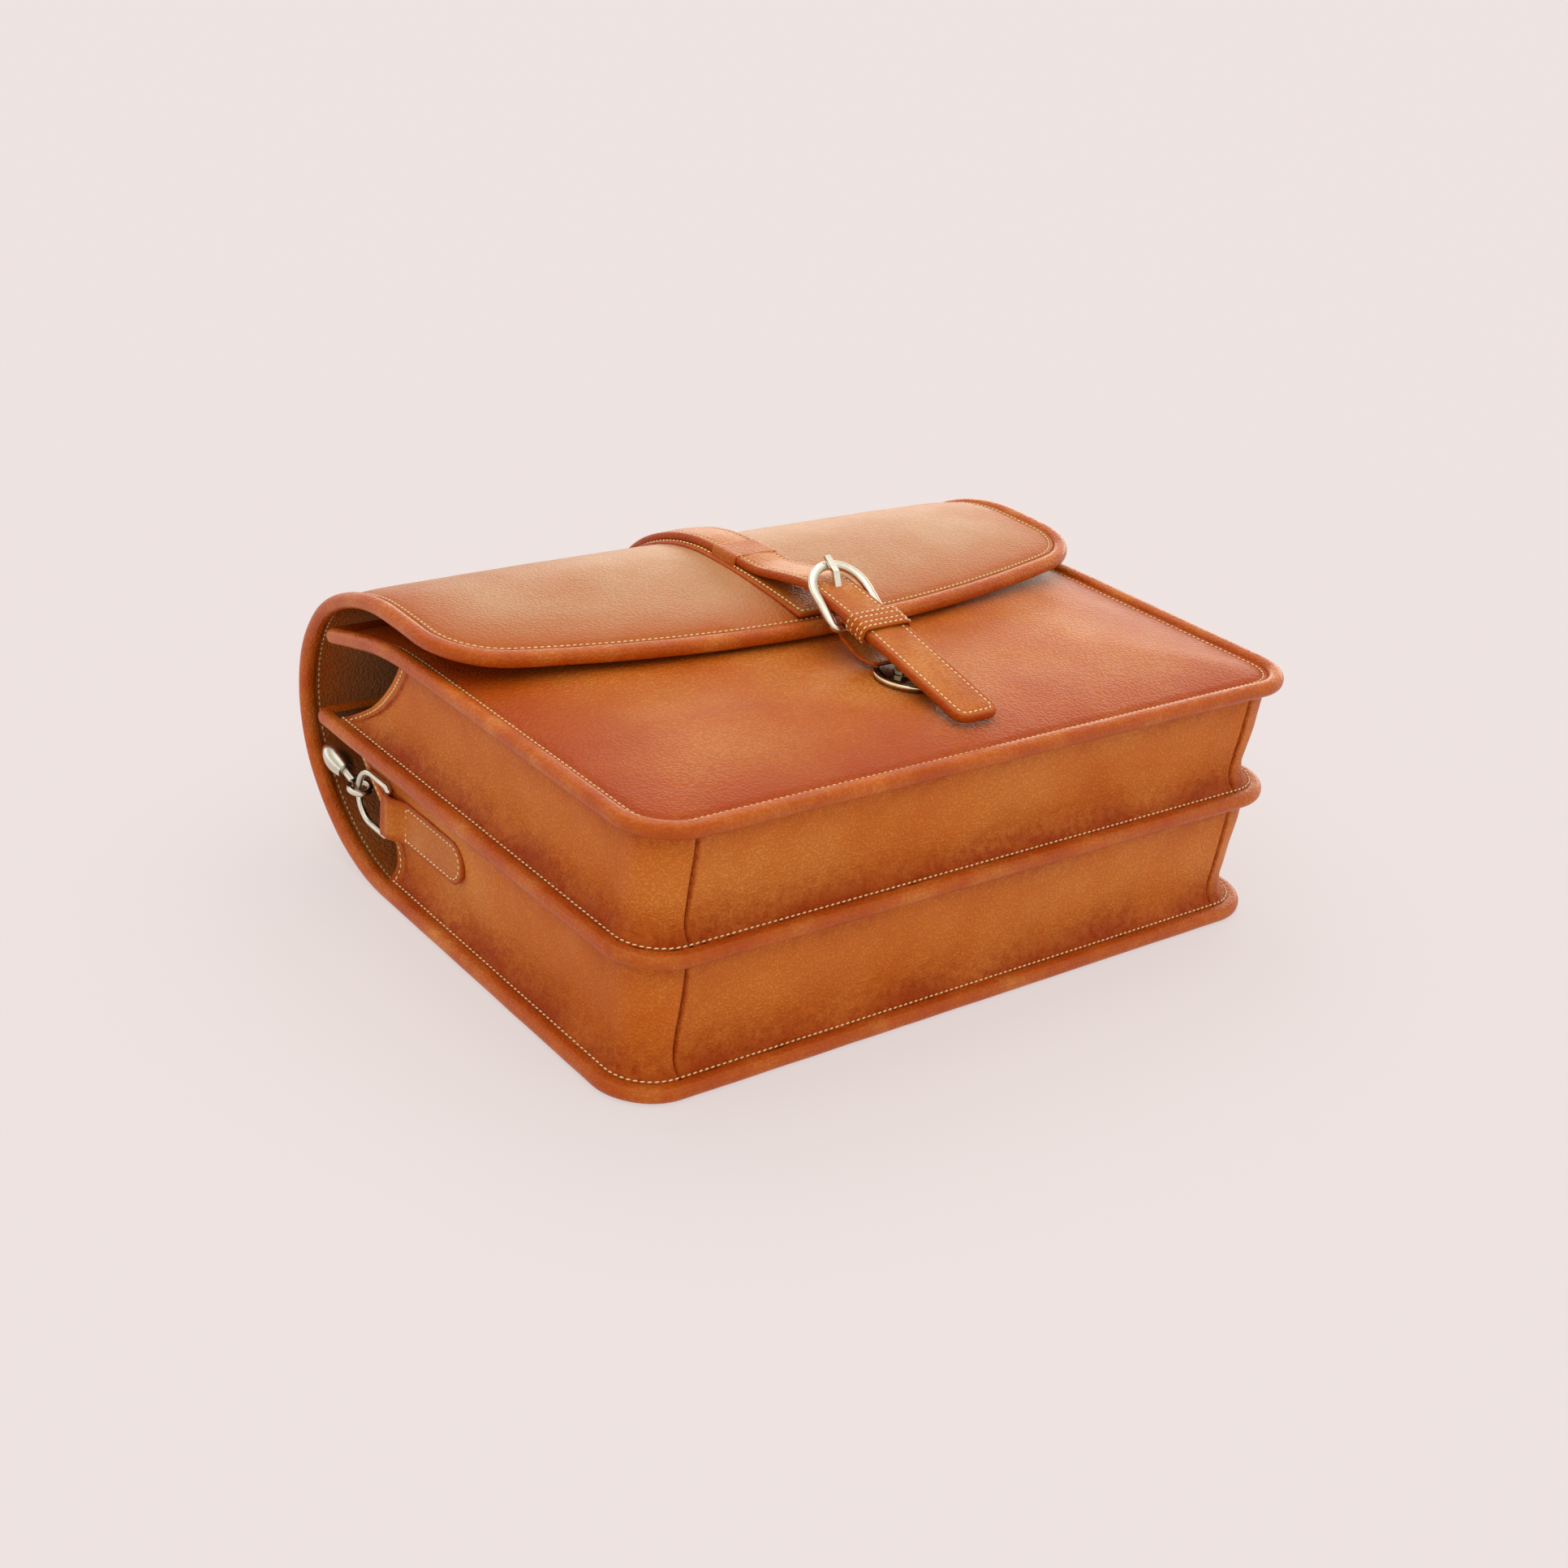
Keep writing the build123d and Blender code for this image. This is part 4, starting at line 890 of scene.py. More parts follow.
gussetShape = {
    "seamAt": 171.0,  # the butt seams near the bottom corners
    "thick": 2.2,
    "inset": ((0.0, 6.2), (0.025, 8.6), (0.06, 10.6), (0.12, 12.4), (0.22, 13.2), (0.4, 12.2), (0.6, 10.6),
              (0.8, 9.2), (0.93, 8.6), (1.0, 8.2)),  # from the lower roll to the upper, behind the outline
    "sag": 9.0,  # how far the hem dips
    "crease": 0.95,  # puckers beside the rolls
    "belly": 1.5,  # slow swelling between the rolls
    "dimple": 0.5,
    "hem": 8.0,
    "hemStep": 0.7,
    "seamRidge": 1.3,
    "seamGap": 0.1,
    "overlap": 0.6,  # how far each wall runs into the rolls above and below it
}
sideRun = bottomEdgeCurve()


def uRoute(top):
    # the outline from the top of the left side, round the bottom, to the top of the right side
    return resample(np.concatenate([[(-bag["half"], top)], sideRun, [(bag["half"], top)]]), 1.0)


def gussetPiece(name, low, high, hems, part):
    # one wall of a gusset: rows run from the lower roll to the upper, columns along the outline
    g = gussetShape
    route = uRoute(bag["top"])
    along = lengthsAlong(route)
    inward = leftOf(directions(route))
    middle = along[-1] / 2
    t = np.concatenate([[0, 0.012, 0.025, 0.04, 0.06, 0.09, 0.12], np.linspace(0.16, 0.93, 20), [0.965, 1.0]])
    hemLow, hemHigh = hems
    hemY = hemLow + (hemHigh - hemLow) * t - g["sag"] * 4 * t * (1 - t)
    seam, gap = g["seamAt"], g["seamGap"]
    seamEnd = np.array([0, 0.25, 0.5, 0.8, 1.2, 1.8, 2.6, 4.0, 6.5])
    hemEnd = np.array([0, 0.5, 1.2, 2.5, 4, 6, 7.4, 8, 8.6, 10])
    if part == "bottom":
        ends = np.full_like(t, middle - seam + gap), np.full_like(t, middle + seam - gap)
        near, far = seamEnd, seamEnd
    elif part == "left":
        ends = bag["top"] - hemY, np.full_like(t, middle - seam - gap)
        near, far = hemEnd, seamEnd
    else:
        ends = np.full_like(t, middle + seam + gap), along[-1] - (bag["top"] - hemY)
        near, far = seamEnd, hemEnd
    share = np.linspace(0, 1, int((ends[1] - ends[0]).mean() / 3.5))[None, 1:-1]
    start, stop = ends[0][:, None] + near[-1], ends[1][:, None] - far[-1]
    first, last = ends[0][:, None] + near[None], ends[1][:, None] - far[None, ::-1]
    at = np.concatenate([first, start + share * (stop - start), last], 1)
    tt = np.broadcast_to(t[:, None], at.shape)
    x, y = [np.interp(at, along, route[:, axis]) for axis in (0, 1)]
    ix, iy = [np.interp(at, along, inward[:, axis]) for axis in (0, 1)]
    insetAt, insetBy = np.array(g["inset"]).T
    inset = np.interp(tt, insetAt, insetBy)
    z = low + tt * (high - low)
    spot = np.stack([at, z * 0.35, 0 * z], -1)
    foot = np.exp(-tt / 0.13) + 0.35 * np.exp(-(1 - tt) / 0.1)
    inset = inset + g["crease"] * foot * (ripple(spot, 7.0, low) + 0.6 * ripple(spot, 3.4, low + 4))
    wide = np.stack([at, z, 0 * z], -1)
    inset = inset + g["belly"] * np.sin(math.pi * tt) * (ripple(wide, 55.0, low + 30) - 0.25)
    inset = inset + g["dimple"] * np.sin(math.pi * tt) * ripple(wide, 16.0, low + 50)
    toSeam = np.full_like(at, 1e3)
    for spotSeam in (middle - seam, middle + seam):
        toSeam = np.minimum(toSeam, np.abs(at - spotSeam))
    inset = inset + g["seamRidge"] * np.exp(-(toSeam / 0.9) ** 2) - 0.35 * np.exp(-((toSeam - 2.6) / 1.6) ** 2)
    patch = 0.75 + 0.6 * ripple(wide, 40.0, low + 70)
    # darker by the lower and upper rolls: burnish, and painted shade where the rolls shade the wall; also
    # darker along the seams and the hem
    rubbedAndShaded = np.clip((1.5 * np.exp(-tt / 0.17) + 0.9 * np.exp(-(1 - tt) / 0.11)) * patch, 0, 1)
    rubbedAndShaded = np.maximum(rubbedAndShaded, np.exp(-(toSeam / 1.6) ** 2))
    if part != "bottom":
        toHem = at - ends[0][:, None] if part == "left" else ends[1][:, None] - at
        step = 1 / (1 + np.exp((toHem - g["hem"]) / 0.35))
        inset = inset - g["hemStep"] * step + 0.25 * np.exp(-((toHem - g["hem"]) / 0.6) ** 2)
        rubbedAndShaded = np.maximum(rubbedAndShaded, np.clip(1 - np.abs(toHem - g["hem"]) / 3, 0, 1))
        middleHem = g["hem"] * 0.5
        where = ends[0] + middleHem if part == "left" else ends[1] - middleHem
        sewn = slice(3, -2)
        sign = -1 if part == "left" else 1
        depth = np.array([np.interp(w, at[k], inset[k]) for k, w in enumerate(where)])
        rowX, rowY = sign * (bag["half"] - depth + 0.25), np.interp(where, along, route[:, 1])
        points = np.stack([rowX, rowY, low + t * (high - low)], -1)[sewn]
        addRow("bag_stitches", points, np.broadcast_to((sign, 0.0, 0.0), points.shape))
    outer = np.stack([x + ix * inset, y + iy * inset, z], -1)
    back = inset + g["thick"]
    inner = np.stack([x + ix * back, y + iy * back, z], -1)
    return dress(shell(name, outer, inner, rubbedAndShaded, 70.0), "gusset", "gusset_leather", "lining")


lap = gussetShape["overlap"]
gussets = {  # lower and upper edge, and where the hem starts and ends
    "rear": (bag["roll"] - lap, bag["middleLow"] + lap, (228.0, 270.0)),
    "front": (bag["middleHigh"] - lap, bag["frontLow"] + lap, (282.0, 222.0)),
}
for place, (low, high, hems) in gussets.items():
    for part in ("left", "bottom", "right"):
        wall = gussetPiece(f"{place}_gusset_{part}_skin", low, high, hems, part)
        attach(wall, "bag")
        nodes = [f"{place}_gusset_{part}"] + ([f"{place}_gusset_lining"] if part == "bottom" else [])
        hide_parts(*nodes)
print("gussets made")


def flangeRow(z, top, inset=6.9, lift=0.35):
    # stitches along the flared foot of a gusset, on top of the roll below it
    route = uRoute(top)
    inward = leftOf(directions(route))
    run = resample(route + inward * inset, 2.0)
    points = np.stack([run[:, 0], run[:, 1], np.full(len(run), z + lift)], -1)
    side = directions(run)
    outward = np.stack([side[:, 1], -side[:, 0], 0.9 + 0 * side[:, 0]], -1)
    addRow("bag_stitches", points, outward / np.linalg.norm(outward, axis=1, keepdims=True))


flangeRow(bag["roll"], 224.0)
flangeRow(bag["middleHigh"], 280.0)


def roundedTop(d, thick, radius):
    # half the thickness of a strap at a distance from its edge
    return thick / 2 * np.sqrt(np.clip(1 - (1 - np.clip(d / radius, 0, 1)) ** 2, 0, 1))


strapInsets = np.array([0, 0.15, 0.4, 0.8, 1.3, 1.9, 2.6, 3.2, 3.6, 4.1, 4.8, 6.0, 8.0])


def strapPiece(name, surface, half, low, high, thick, tipLow, tipHigh, look, holes=()):
    # a strap over a surface from low to high along it, its ends rounded by the tip radii
    near = strapInsets[strapInsets < half - 1.5]
    inner = half - near[-1]
    columns = np.concatenate([-(half - near), np.linspace(-inner, inner, 7)[1:-1], (half - near)[::-1]])

    def tip(radius):
        over = np.clip(np.abs(columns) - (half - radius), 0, radius)
        return radius - np.sqrt(radius**2 - over**2)

    first, last = low + tip(tipLow), high - tip(tipHigh)
    s = rowsBetween(first, last, near, near[::-1], 3.0)
    x = np.broadcast_to(columns, s.shape)
    outline = roundedBox(half, low, high, tipLow, tipHigh, 0.5)
    inside = distanceTo(resample(outline, 0.5, True), x, s)
    inside[0] = inside[-1] = 0.0
    inside[:, 0] = inside[:, -1] = 0.0
    points, normals = surface(x, s)
    body = roundedTop(inside, thick, look["edge"])
    groove = look["groove"] * np.exp(-((inside - look["stitch"]) / 0.7) ** 2)
    crown = look["crown"] * np.clip((inside - look["stitch"]) / (half - look["stitch"]), 0, 1) ** 0.7
    top = thick / 2 + body - groove + crown
    bottom = thick / 2 - body
    for holeX, holeS in holes:
        far = np.hypot(x - holeX, s - holeS)
        top = top - 1.3 * np.exp(-(far / 1.2) ** 2)
    rubbedAndShaded = np.clip(1.1 - inside / 3.2, 0, 1) + 0.25 * np.exp(-((inside - look["stitch"]) / 1.2) ** 2)
    outer, inner = points + normals * top[..., None], points + normals * bottom[..., None]
    return dress(shell(name, outer, inner, np.clip(rubbedAndShaded, 0, 1), 60.0), "strap", "tan_leather", "strap")


def strapRow(group, surface, half, low, high, tip, inset, lift, closed=False):
    # a row of stitches round a strap: up one side, round the low end and down the other
    h, r = half - inset, max(tip - inset, 0.8)
    run = [np.array((-h, high - inset))] + arc((-(h - r), low + inset + r), r, 180.0, 270.0, 0.5)
    run += arc((h - r, low + inset + r), r, 270.0, 360.0, 0.5) + [np.array((h, high - inset))]
    if closed:
        run.append(run[0])
    run = resample(np.array(run), 1.0)
    surfaceRow(group, surface, run[:, 0], run[:, 1], lift)


strapShape = {"edge": 1.3, "groove": 0.35, "stitch": 3.4, "crown": 0.5}
baseShape = {"half": 17.0, "thick": 2.5, "end": 144.5, "topAngle": 44.0, "stitch": 3.2}
strapTop = startOf[1] + sideCurve["midRadius"] * math.radians(baseShape["topAngle"] - sideCurve["lowEnd"])


def raised(surface, lift):
    def moved(x, s):
        points, normals = surface(x, s)
        return points + normals * lift, normals
    return moved


def flipped(surface, total):
    # the same sheet measured from its other end
    def turned(x, s):
        return surface(x, total - s)
    return turned


baseEnd = float(alongFlap(baseShape["end"]))
baseSurface = flipped(raised(curveSurface, -0.6), strapTop + baseEnd)
baseStrap = strapPiece("strap_base", baseSurface, baseShape["half"], strapTop, baseEnd,
                       baseShape["thick"], 2.0, 2.0,
                       {**strapShape, "crown": 0.1, "stitch": baseShape["stitch"]})
seat(baseStrap, "flap", "base_strap")
strapRow("strap_stitches", baseSurface, baseShape["half"], strapTop, baseEnd, 2.0, baseShape["stitch"],
         baseShape["thick"] + 0.05)

beltShape = {
    "half": 13.0, "thick": 4.5, "tip": 7.0, "holes": (88.0, 64.0),
    "tipAt": (26.0, 138.8), "bend": (108.0, 157.2), "rise": (150.0, 164.2), "lieFrom": 190.0, "over": 1.7,
}


def beltRoute():
    b = beltShape
    lie = crest + b["over"]
    corners = [b["tipAt"], b["bend"], b["rise"], (b["lieFrom"], lie), (topCentre[0], lie)]
    tail = filletPath(corners, [60, 40, 60])
    over = arc(topCentre, sideCurve["topRadius"] + b["over"], 90.0, sideCurve["midEnd"])[1:]
    down = arc(midCentre, sideCurve["midRadius"] + b["over"], sideCurve["midEnd"], baseShape["topAngle"])[1:]
    return np.concatenate([tail, over, down])


beltSurface, beltLength = pathSurface(beltRoute())
tailRun, tailRise = np.array(beltShape["bend"]) - np.array(beltShape["tipAt"])
tailStretch = math.hypot(tailRun, tailRise) / tailRun
holes = [(0.0, (y - beltShape["tipAt"][0]) * tailStretch) for y in beltShape["holes"]]
beltStrap = strapPiece("strap_belt", beltSurface, beltShape["half"], 0.0, beltLength, beltShape["thick"],
                       beltShape["tip"], 2.0, strapShape, holes)
seat(beltStrap, "flap", "belt_strap")
strapRow("strap_stitches", beltSurface, beltShape["half"], 0.0, beltLength, beltShape["tip"],
         strapShape["stitch"], beltShape["thick"] - 0.15)


def bandPiece(name, route, origin, xAxis, upAxis, along, half, thick, closed, look):
    # a narrow band of leather laid round a route in the plane of xAxis and upAxis
    route = resample(route, 0.8, closed)
    tangent = directions(route, closed)
    outward = rightOf(tangent)
    axes = np.array([xAxis, upAxis], float)
    centre = np.array(origin)[None] + route @ axes
    near = half - strapInsets[strapInsets < half - 0.5]
    u = np.concatenate([-near, [0.0], near[::-1]])
    inside = half - np.abs(u)
    body = roundedTop(inside, thick, min(look["edge"], thick / 2))
    lift = look["groove"] * sum(np.exp(-((np.abs(u) - g) / 0.6) ** 2) for g in look["rows"])
    top = np.stack([u, thick / 2 + body - lift + look["crown"] * np.cos(u / half * math.pi / 2)], -1)
    bottom = np.stack([u, thick / 2 - body], -1)[::-1][1:-1]
    section = np.concatenate([top, bottom])
    across = np.broadcast_to(np.array(along, float), centre.shape)
    outward = outward @ axes
    piece = sweep(name, centre, across, outward, section, closed, None, np.full(len(centre), 0.5), 60.0)
    return piece, centre, outward


bandShape = {"from": 205.0, "length": 20.0, "thick": 1.6, "foot": 14.6, "shoulder": 13.6}
bandBottom = crest + 1.6
bandHigh = crest + beltShape["over"] + beltShape["thick"] + 0.5
foot, shoulder, halfBand = bandShape["foot"], bandShape["shoulder"], bandShape["length"] / 2
bandRoute = filletPath([(foot, bandBottom), (shoulder, bandHigh), (-shoulder, bandHigh), (-foot, bandBottom)],
                       [2.2, 2.2], 0.4)
band, _, _ = bandPiece("bridge_loop", bandRoute[::-1], (0, bandShape["from"] + halfBand, 0),
                       (1, 0, 0), (0, 0, 1), (0, 1, 0), halfBand, bandShape["thick"], False,
                       {"edge": 0.8, "groove": 0.0, "rows": (), "crown": 0.25})
seat(dress(band, "strap", "tan_leather"), "flap", "bridge_band")

keeperShape = {
    "at": 105.0, "half": 7.0, "thick": 1.8, "rows": (2.1, 5.4), "sideGap": 0.35, "topGap": 0.75,
    "lowRound": 1.2, "highRound": 1.6,
}
(tipY, tipZ), (bendY, bendZ) = beltShape["tipAt"], beltShape["bend"]
slope = math.atan2(bendZ - tipZ, bendY - tipY)
keeperPoint = (0.0, keeperShape["at"], bendZ - (bendY - keeperShape["at"]) * math.tan(slope))
halfIn = beltShape["half"] + keeperShape["sideGap"]
lowIn, highIn = -keeperShape["sideGap"], beltShape["thick"] + keeperShape["topGap"]
low, high = keeperShape["lowRound"], keeperShape["highRound"]
keeperRoute = np.array(
    arc((halfIn - low, lowIn + low), low, -90, 0, 0.3)
    + arc((halfIn - high, highIn - high), high, 0, 90, 0.3)
    + arc((-halfIn + high, highIn - high), high, 90, 180, 0.3)
    + arc((-halfIn + low, lowIn + low), low, 180, 270, 0.3))
keeperUp = (0.0, -math.sin(slope), math.cos(slope))
keeperAlong = (0.0, math.cos(slope), math.sin(slope))
keeper, ring, out = bandPiece("keeper_loop", keeperRoute, keeperPoint, (1, 0, 0), keeperUp, keeperAlong,
                              keeperShape["half"], keeperShape["thick"], True,
                              {"edge": 0.9, "groove": 0.3, "rows": keeperShape["rows"], "crown": 0.3})
seat(dress(keeper, "strap", "tan_leather"), "keeper", "strap_keeper")
rise = keeperShape["thick"] + 0.1
for offset in [sign * place for place in keeperShape["rows"] for sign in (-1, 1)]:
    row = ring + out * rise + np.array(keeperAlong)[None] * offset
    addRow("keeper_stitches", np.concatenate([row, row[:1]]), np.concatenate([out, out[:1]]))
print("straps made")

buckleShape = {
    "barAt": 117.0, "barZ": 153.904, "tilt": 34.3, "width": 37.0, "length": 41.0, "rim": 4.6, "bar": 3.6,
}


def buckleFrame():
    b = buckleShape
    half, tilt = b["width"] / 2, math.radians(b["tilt"])
    shoulder = b["length"] - half - b["bar"] / 2
    middle = half - b["rim"] / 2
    curve = arc((0, shoulder), middle, 0, 180, 0.8)
    run = filletPath([(-middle, shoulder), (-middle, 0), (middle, 0), (middle, shoulder)], [3.0, 3.0], 0.5)
    route = resample(np.array(curve[:-1] + list(run)), 0.9, True)
    axes = np.array([(1.0, 0.0, 0.0), (0.0, math.cos(tilt), math.sin(tilt))])
    up = np.array([0.0, -math.sin(tilt), math.cos(tilt)])
    centre = np.array([0.0, b["barAt"], b["barZ"]]) + route @ axes
    outward = rightOf(directions(route, True)) @ axes
    narrow = np.interp(route[:, 1], [0, 5], [b["bar"] / b["rim"], 1.0])  # the bar is thinner than the rim
    section = roundSection(b["rim"] / 2, b["bar"] / 2, 2.8, 20)
    return sweep("buckle_bow", centre, outward, np.broadcast_to(up, centre.shape), section, True,
                 np.stack([narrow, 1 + 0 * narrow], -1))


buckle = dress(buckleFrame(), "nickel", "satin_nickel")
seat(buckle, "buckle", "buckle_frame")


def wireRing(name, points, axisUp, radius, closed=True):
    path = resample(points, 0.8, closed)
    tangent = directions(path, closed)
    up = np.broadcast_to(np.array(axisUp, float), path.shape)
    return sweep(name, path, np.cross(tangent, up), up, roundSection(radius, radius, 2.0, 16), closed)


ringShape = {"at": 230.0, "height": 44.0, "inner": 24.0, "depth": 31.0, "wire": 1.75, "stand": 196.9}


def ringRoute(side):
    r = ringShape
    reach = r["inner"] / 2 + r["wire"]
    straight = r["depth"] - reach
    y, z = r["at"], r["height"]
    corners = [(y + straight, z - reach), (y, z - reach), (y, z + reach), (y + straight, z + reach)]
    flat = filletPath(corners, [2.5, 2.5], 0.4)
    bow = arc((y + straight, z), reach, 90, -90, 0.7)[1:-1]
    pairs = np.concatenate([flat, bow])
    return np.stack([np.full(len(pairs), side * r["stand"]), pairs[:, 0], pairs[:, 1]], -1)


for side, word in ((-1, "left"), (1, "right")):
    ring = wireRing(f"dee_{word}", ringRoute(side), (1, 0, 0), ringShape["wire"])
    seat(dress(ring, "nickel", "satin_nickel"), f"ring_{word}", f"d_ring_{word}")

# each ring tab is a folded strap sewn to the rear gusset
tabShape = {
    "half": 11.5, "end": 160.0, "thick": 3.0, "round": 11.0, "stitch": 2.8, "fold": 1.9, "underFrom": 200.0,
    "sewnTo": 217.5, "liftFrom": 214.0, "liftOver": 11.0,
}


def tabSurface(side, reach):
    # the tab's inner face, flat on the gusset and lifting to a distance from the bag's centre at the ring
    insetAt, insetBy = np.array(gussetShape["inset"]).T
    low, high = gussets["rear"][0], gussets["rear"][1]
    wall = bag["half"] - np.interp((ringShape["height"] - low) / (high - low), insetAt, insetBy) - 0.4

    def surface(a, s):
        a, s = paired(a, s)
        u = np.clip((s - tabShape["liftFrom"]) / tabShape["liftOver"], 0, 1)
        x = side * (wall + (reach - wall) * u * u * (3 - 2 * u))
        return np.stack([x, s, ringShape["height"] - side * a], -1), np.stack([side + 0 * a, 0 * a, 0 * a], -1)

    return surface


def loopSurface(side, radius):
    # the fold round the ring's bar, from the tab's face round the bar and back
    def surface(a, s):
        a, s = paired(a, s)
        angle = -0.75 * math.pi + s / radius
        nx, ny = -side * np.sin(angle), np.cos(angle)
        normals = np.stack([nx, ny, 0 * a], -1)
        middle = [side * ringShape["stand"] + 0 * a, ringShape["at"] + 0 * a, ringShape["height"] - side * a]
        return np.stack(middle, -1) + normals * radius, normals

    return surface


for side, word in ((-1, "left"), (1, "right")):
    g, end = tabShape, ringShape["at"] - 0.5
    inner = ringShape["wire"] + 0.15
    surface = tabSurface(side, ringShape["stand"] + inner + g["fold"] - g["thick"])
    tab = strapPiece(f"ring_tab_{word}_leaf", surface, g["half"], g["end"], end, g["thick"], g["round"], 1.0,
                     {"edge": 1.2, "groove": 0.3, "stitch": g["stitch"], "crown": 0.3})
    strapRow("bag_stitches", surface, g["half"], g["end"], g["sewnTo"], g["round"], g["stitch"],
             g["thick"] - 0.1, True)
    plain = {"edge": 0.9, "groove": 0.0, "stitch": 2.0, "crown": 0.0}
    under = strapPiece(f"ring_tab_{word}_under", tabSurface(side, ringShape["stand"] - inner - g["fold"]),
                       g["half"] - 0.2, g["underFrom"], end, g["fold"], 1.0, 1.0, plain)
    fold = strapPiece(f"ring_tab_{word}_fold", loopSurface(side, inner), g["half"], 0.0, inner * 1.5 * math.pi,
                      g["fold"], 0.6, 0.6, plain)
    for piece in (tab, under, fold):
        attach(piece, "bag")
    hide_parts(f"ring_tab_{word}")
print("rings made")

# a tab is folded round the buckle's bar and runs down to the clasp
claspShape = {"at": 79.0, "half": 18.0}
claspFloor = (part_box("clasp_base")[0].z) / mm
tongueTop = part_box("clasp_tongue")[1].z / mm
foldShape = {"half": 12.0, "leather": 1.8}


def buckleFold():
    b = buckleShape
    radius = 2.7 + 0.05
    low = tongueTop + 0.15
    under = b["barZ"] - radius - foldShape["leather"] - 0.2
    corners = [(claspShape["at"] + 13.0, low), (b["barAt"] - 12.0, low), (b["barAt"] + 1.0, under)]
    lower = filletPath(corners, [10.0], 0.5)
    turn = arc((b["barAt"], b["barZ"]), radius + foldShape["leather"] / 2, -80.0, 175.0, 0.4)
    return np.concatenate([lower, np.array(turn)])


foldRoute = buckleFold()
foldSurface, foldLength = pathSurface(foldRoute[::-1])
buckleTab = strapPiece("buckle_leaf", raised(foldSurface, -1.0), foldShape["half"], 0.0, foldLength,
                       2.0, 0.8, 4.0, {"edge": 0.9, "groove": 0.2, "stitch": 2.6, "crown": 0.0})
seat(buckleTab, "flap", "buckle_tab")

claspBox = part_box("clasp_base")
claspHalfX, claspHalfY = claspBox[1].x / mm, (claspBox[1].y - claspBox[0].y) / mm / 2
angle = np.linspace(0, 2 * math.pi, 90, endpoint=False)
oval = np.stack([(claspHalfX - 0.9) * np.cos(angle), claspShape["at"] + (claspHalfY - 0.9) * np.sin(angle),
                 np.full(90, claspFloor + 1.9)], -1)
rim = dress(wireRing("clasp_rim", oval, (0, 0, 1), 1.35), "rim", "dark_chrome")
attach(rim, "bag")

handleShape = {
    "span": 116.0, "drop": 45.0, "grip": 7.0, "wire": 1.9,
    "ringWidth": 26.0, "ringDrop": 14.0, "ringRound": 3.5,
    "chape": 8.5, "tabHalf": 10.0, "tabThick": 2.2,
}
handleY = (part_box("handle_core")[0].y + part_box("handle_core")[1].y) / 2 / mm - bottomEdge / mm
handleZ = midCentre[1]
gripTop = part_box("handle_grip")[1].z / mm
gripZ = handleZ - handleShape["drop"]
pivot = handleShape["span"] / 2


def handlePath():
    return filletPath([(-pivot, gripTop), (-pivot, gripZ), (pivot, gripZ), (pivot, gripTop)], [14.0, 14.0], 1.0)


gripRun = resample(handlePath(), 2.0)
gripPath = np.stack([gripRun[:, 0], np.full(len(gripRun), handleY), gripRun[:, 1]], -1)
gripSide = directions(gripPath)
across = np.cross(gripSide, np.array([0.0, 1.0, 0.0]))
fromEnd = np.minimum(np.arange(len(gripRun)), np.arange(len(gripRun))[::-1]) * 2.0
full = 0.72 + 0.28 * np.clip(fromEnd / 18.0, 0, 1) ** 0.7
angle = np.linspace(0, 2 * math.pi, 28, endpoint=False)
seamLift = 0.9 * np.exp(-((np.abs(angle - math.pi)) / 0.2) ** 2)
gripRadius = handleShape["grip"] - 0.5
gripSection = np.stack([(gripRadius + seamLift) * np.cos(angle), gripRadius * np.sin(angle)], -1)
gripUp = np.broadcast_to((0.0, 1.0, 0.0), gripPath.shape)
grip = sweep("handle_roll", gripPath, across, gripUp, gripSection, False,
             np.stack([full, full], -1), np.full(len(gripRun), 0.4), 60.0)
seat(dress(grip, "strap", "tan_leather"), "handle", "handle_grip")
seamRow = gripPath - across * ((handleShape["grip"] - 1.9) * full)[:, None]
for side in (-1, 1):
    lifted = seamRow + np.array([0.0, side * 2.6, 0.0])
    addRow("handle_stitches", lifted[4:-4], np.broadcast_to((0.0, float(side), 0.0), lifted[4:-4].shape))
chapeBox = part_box("handle_chape_left")
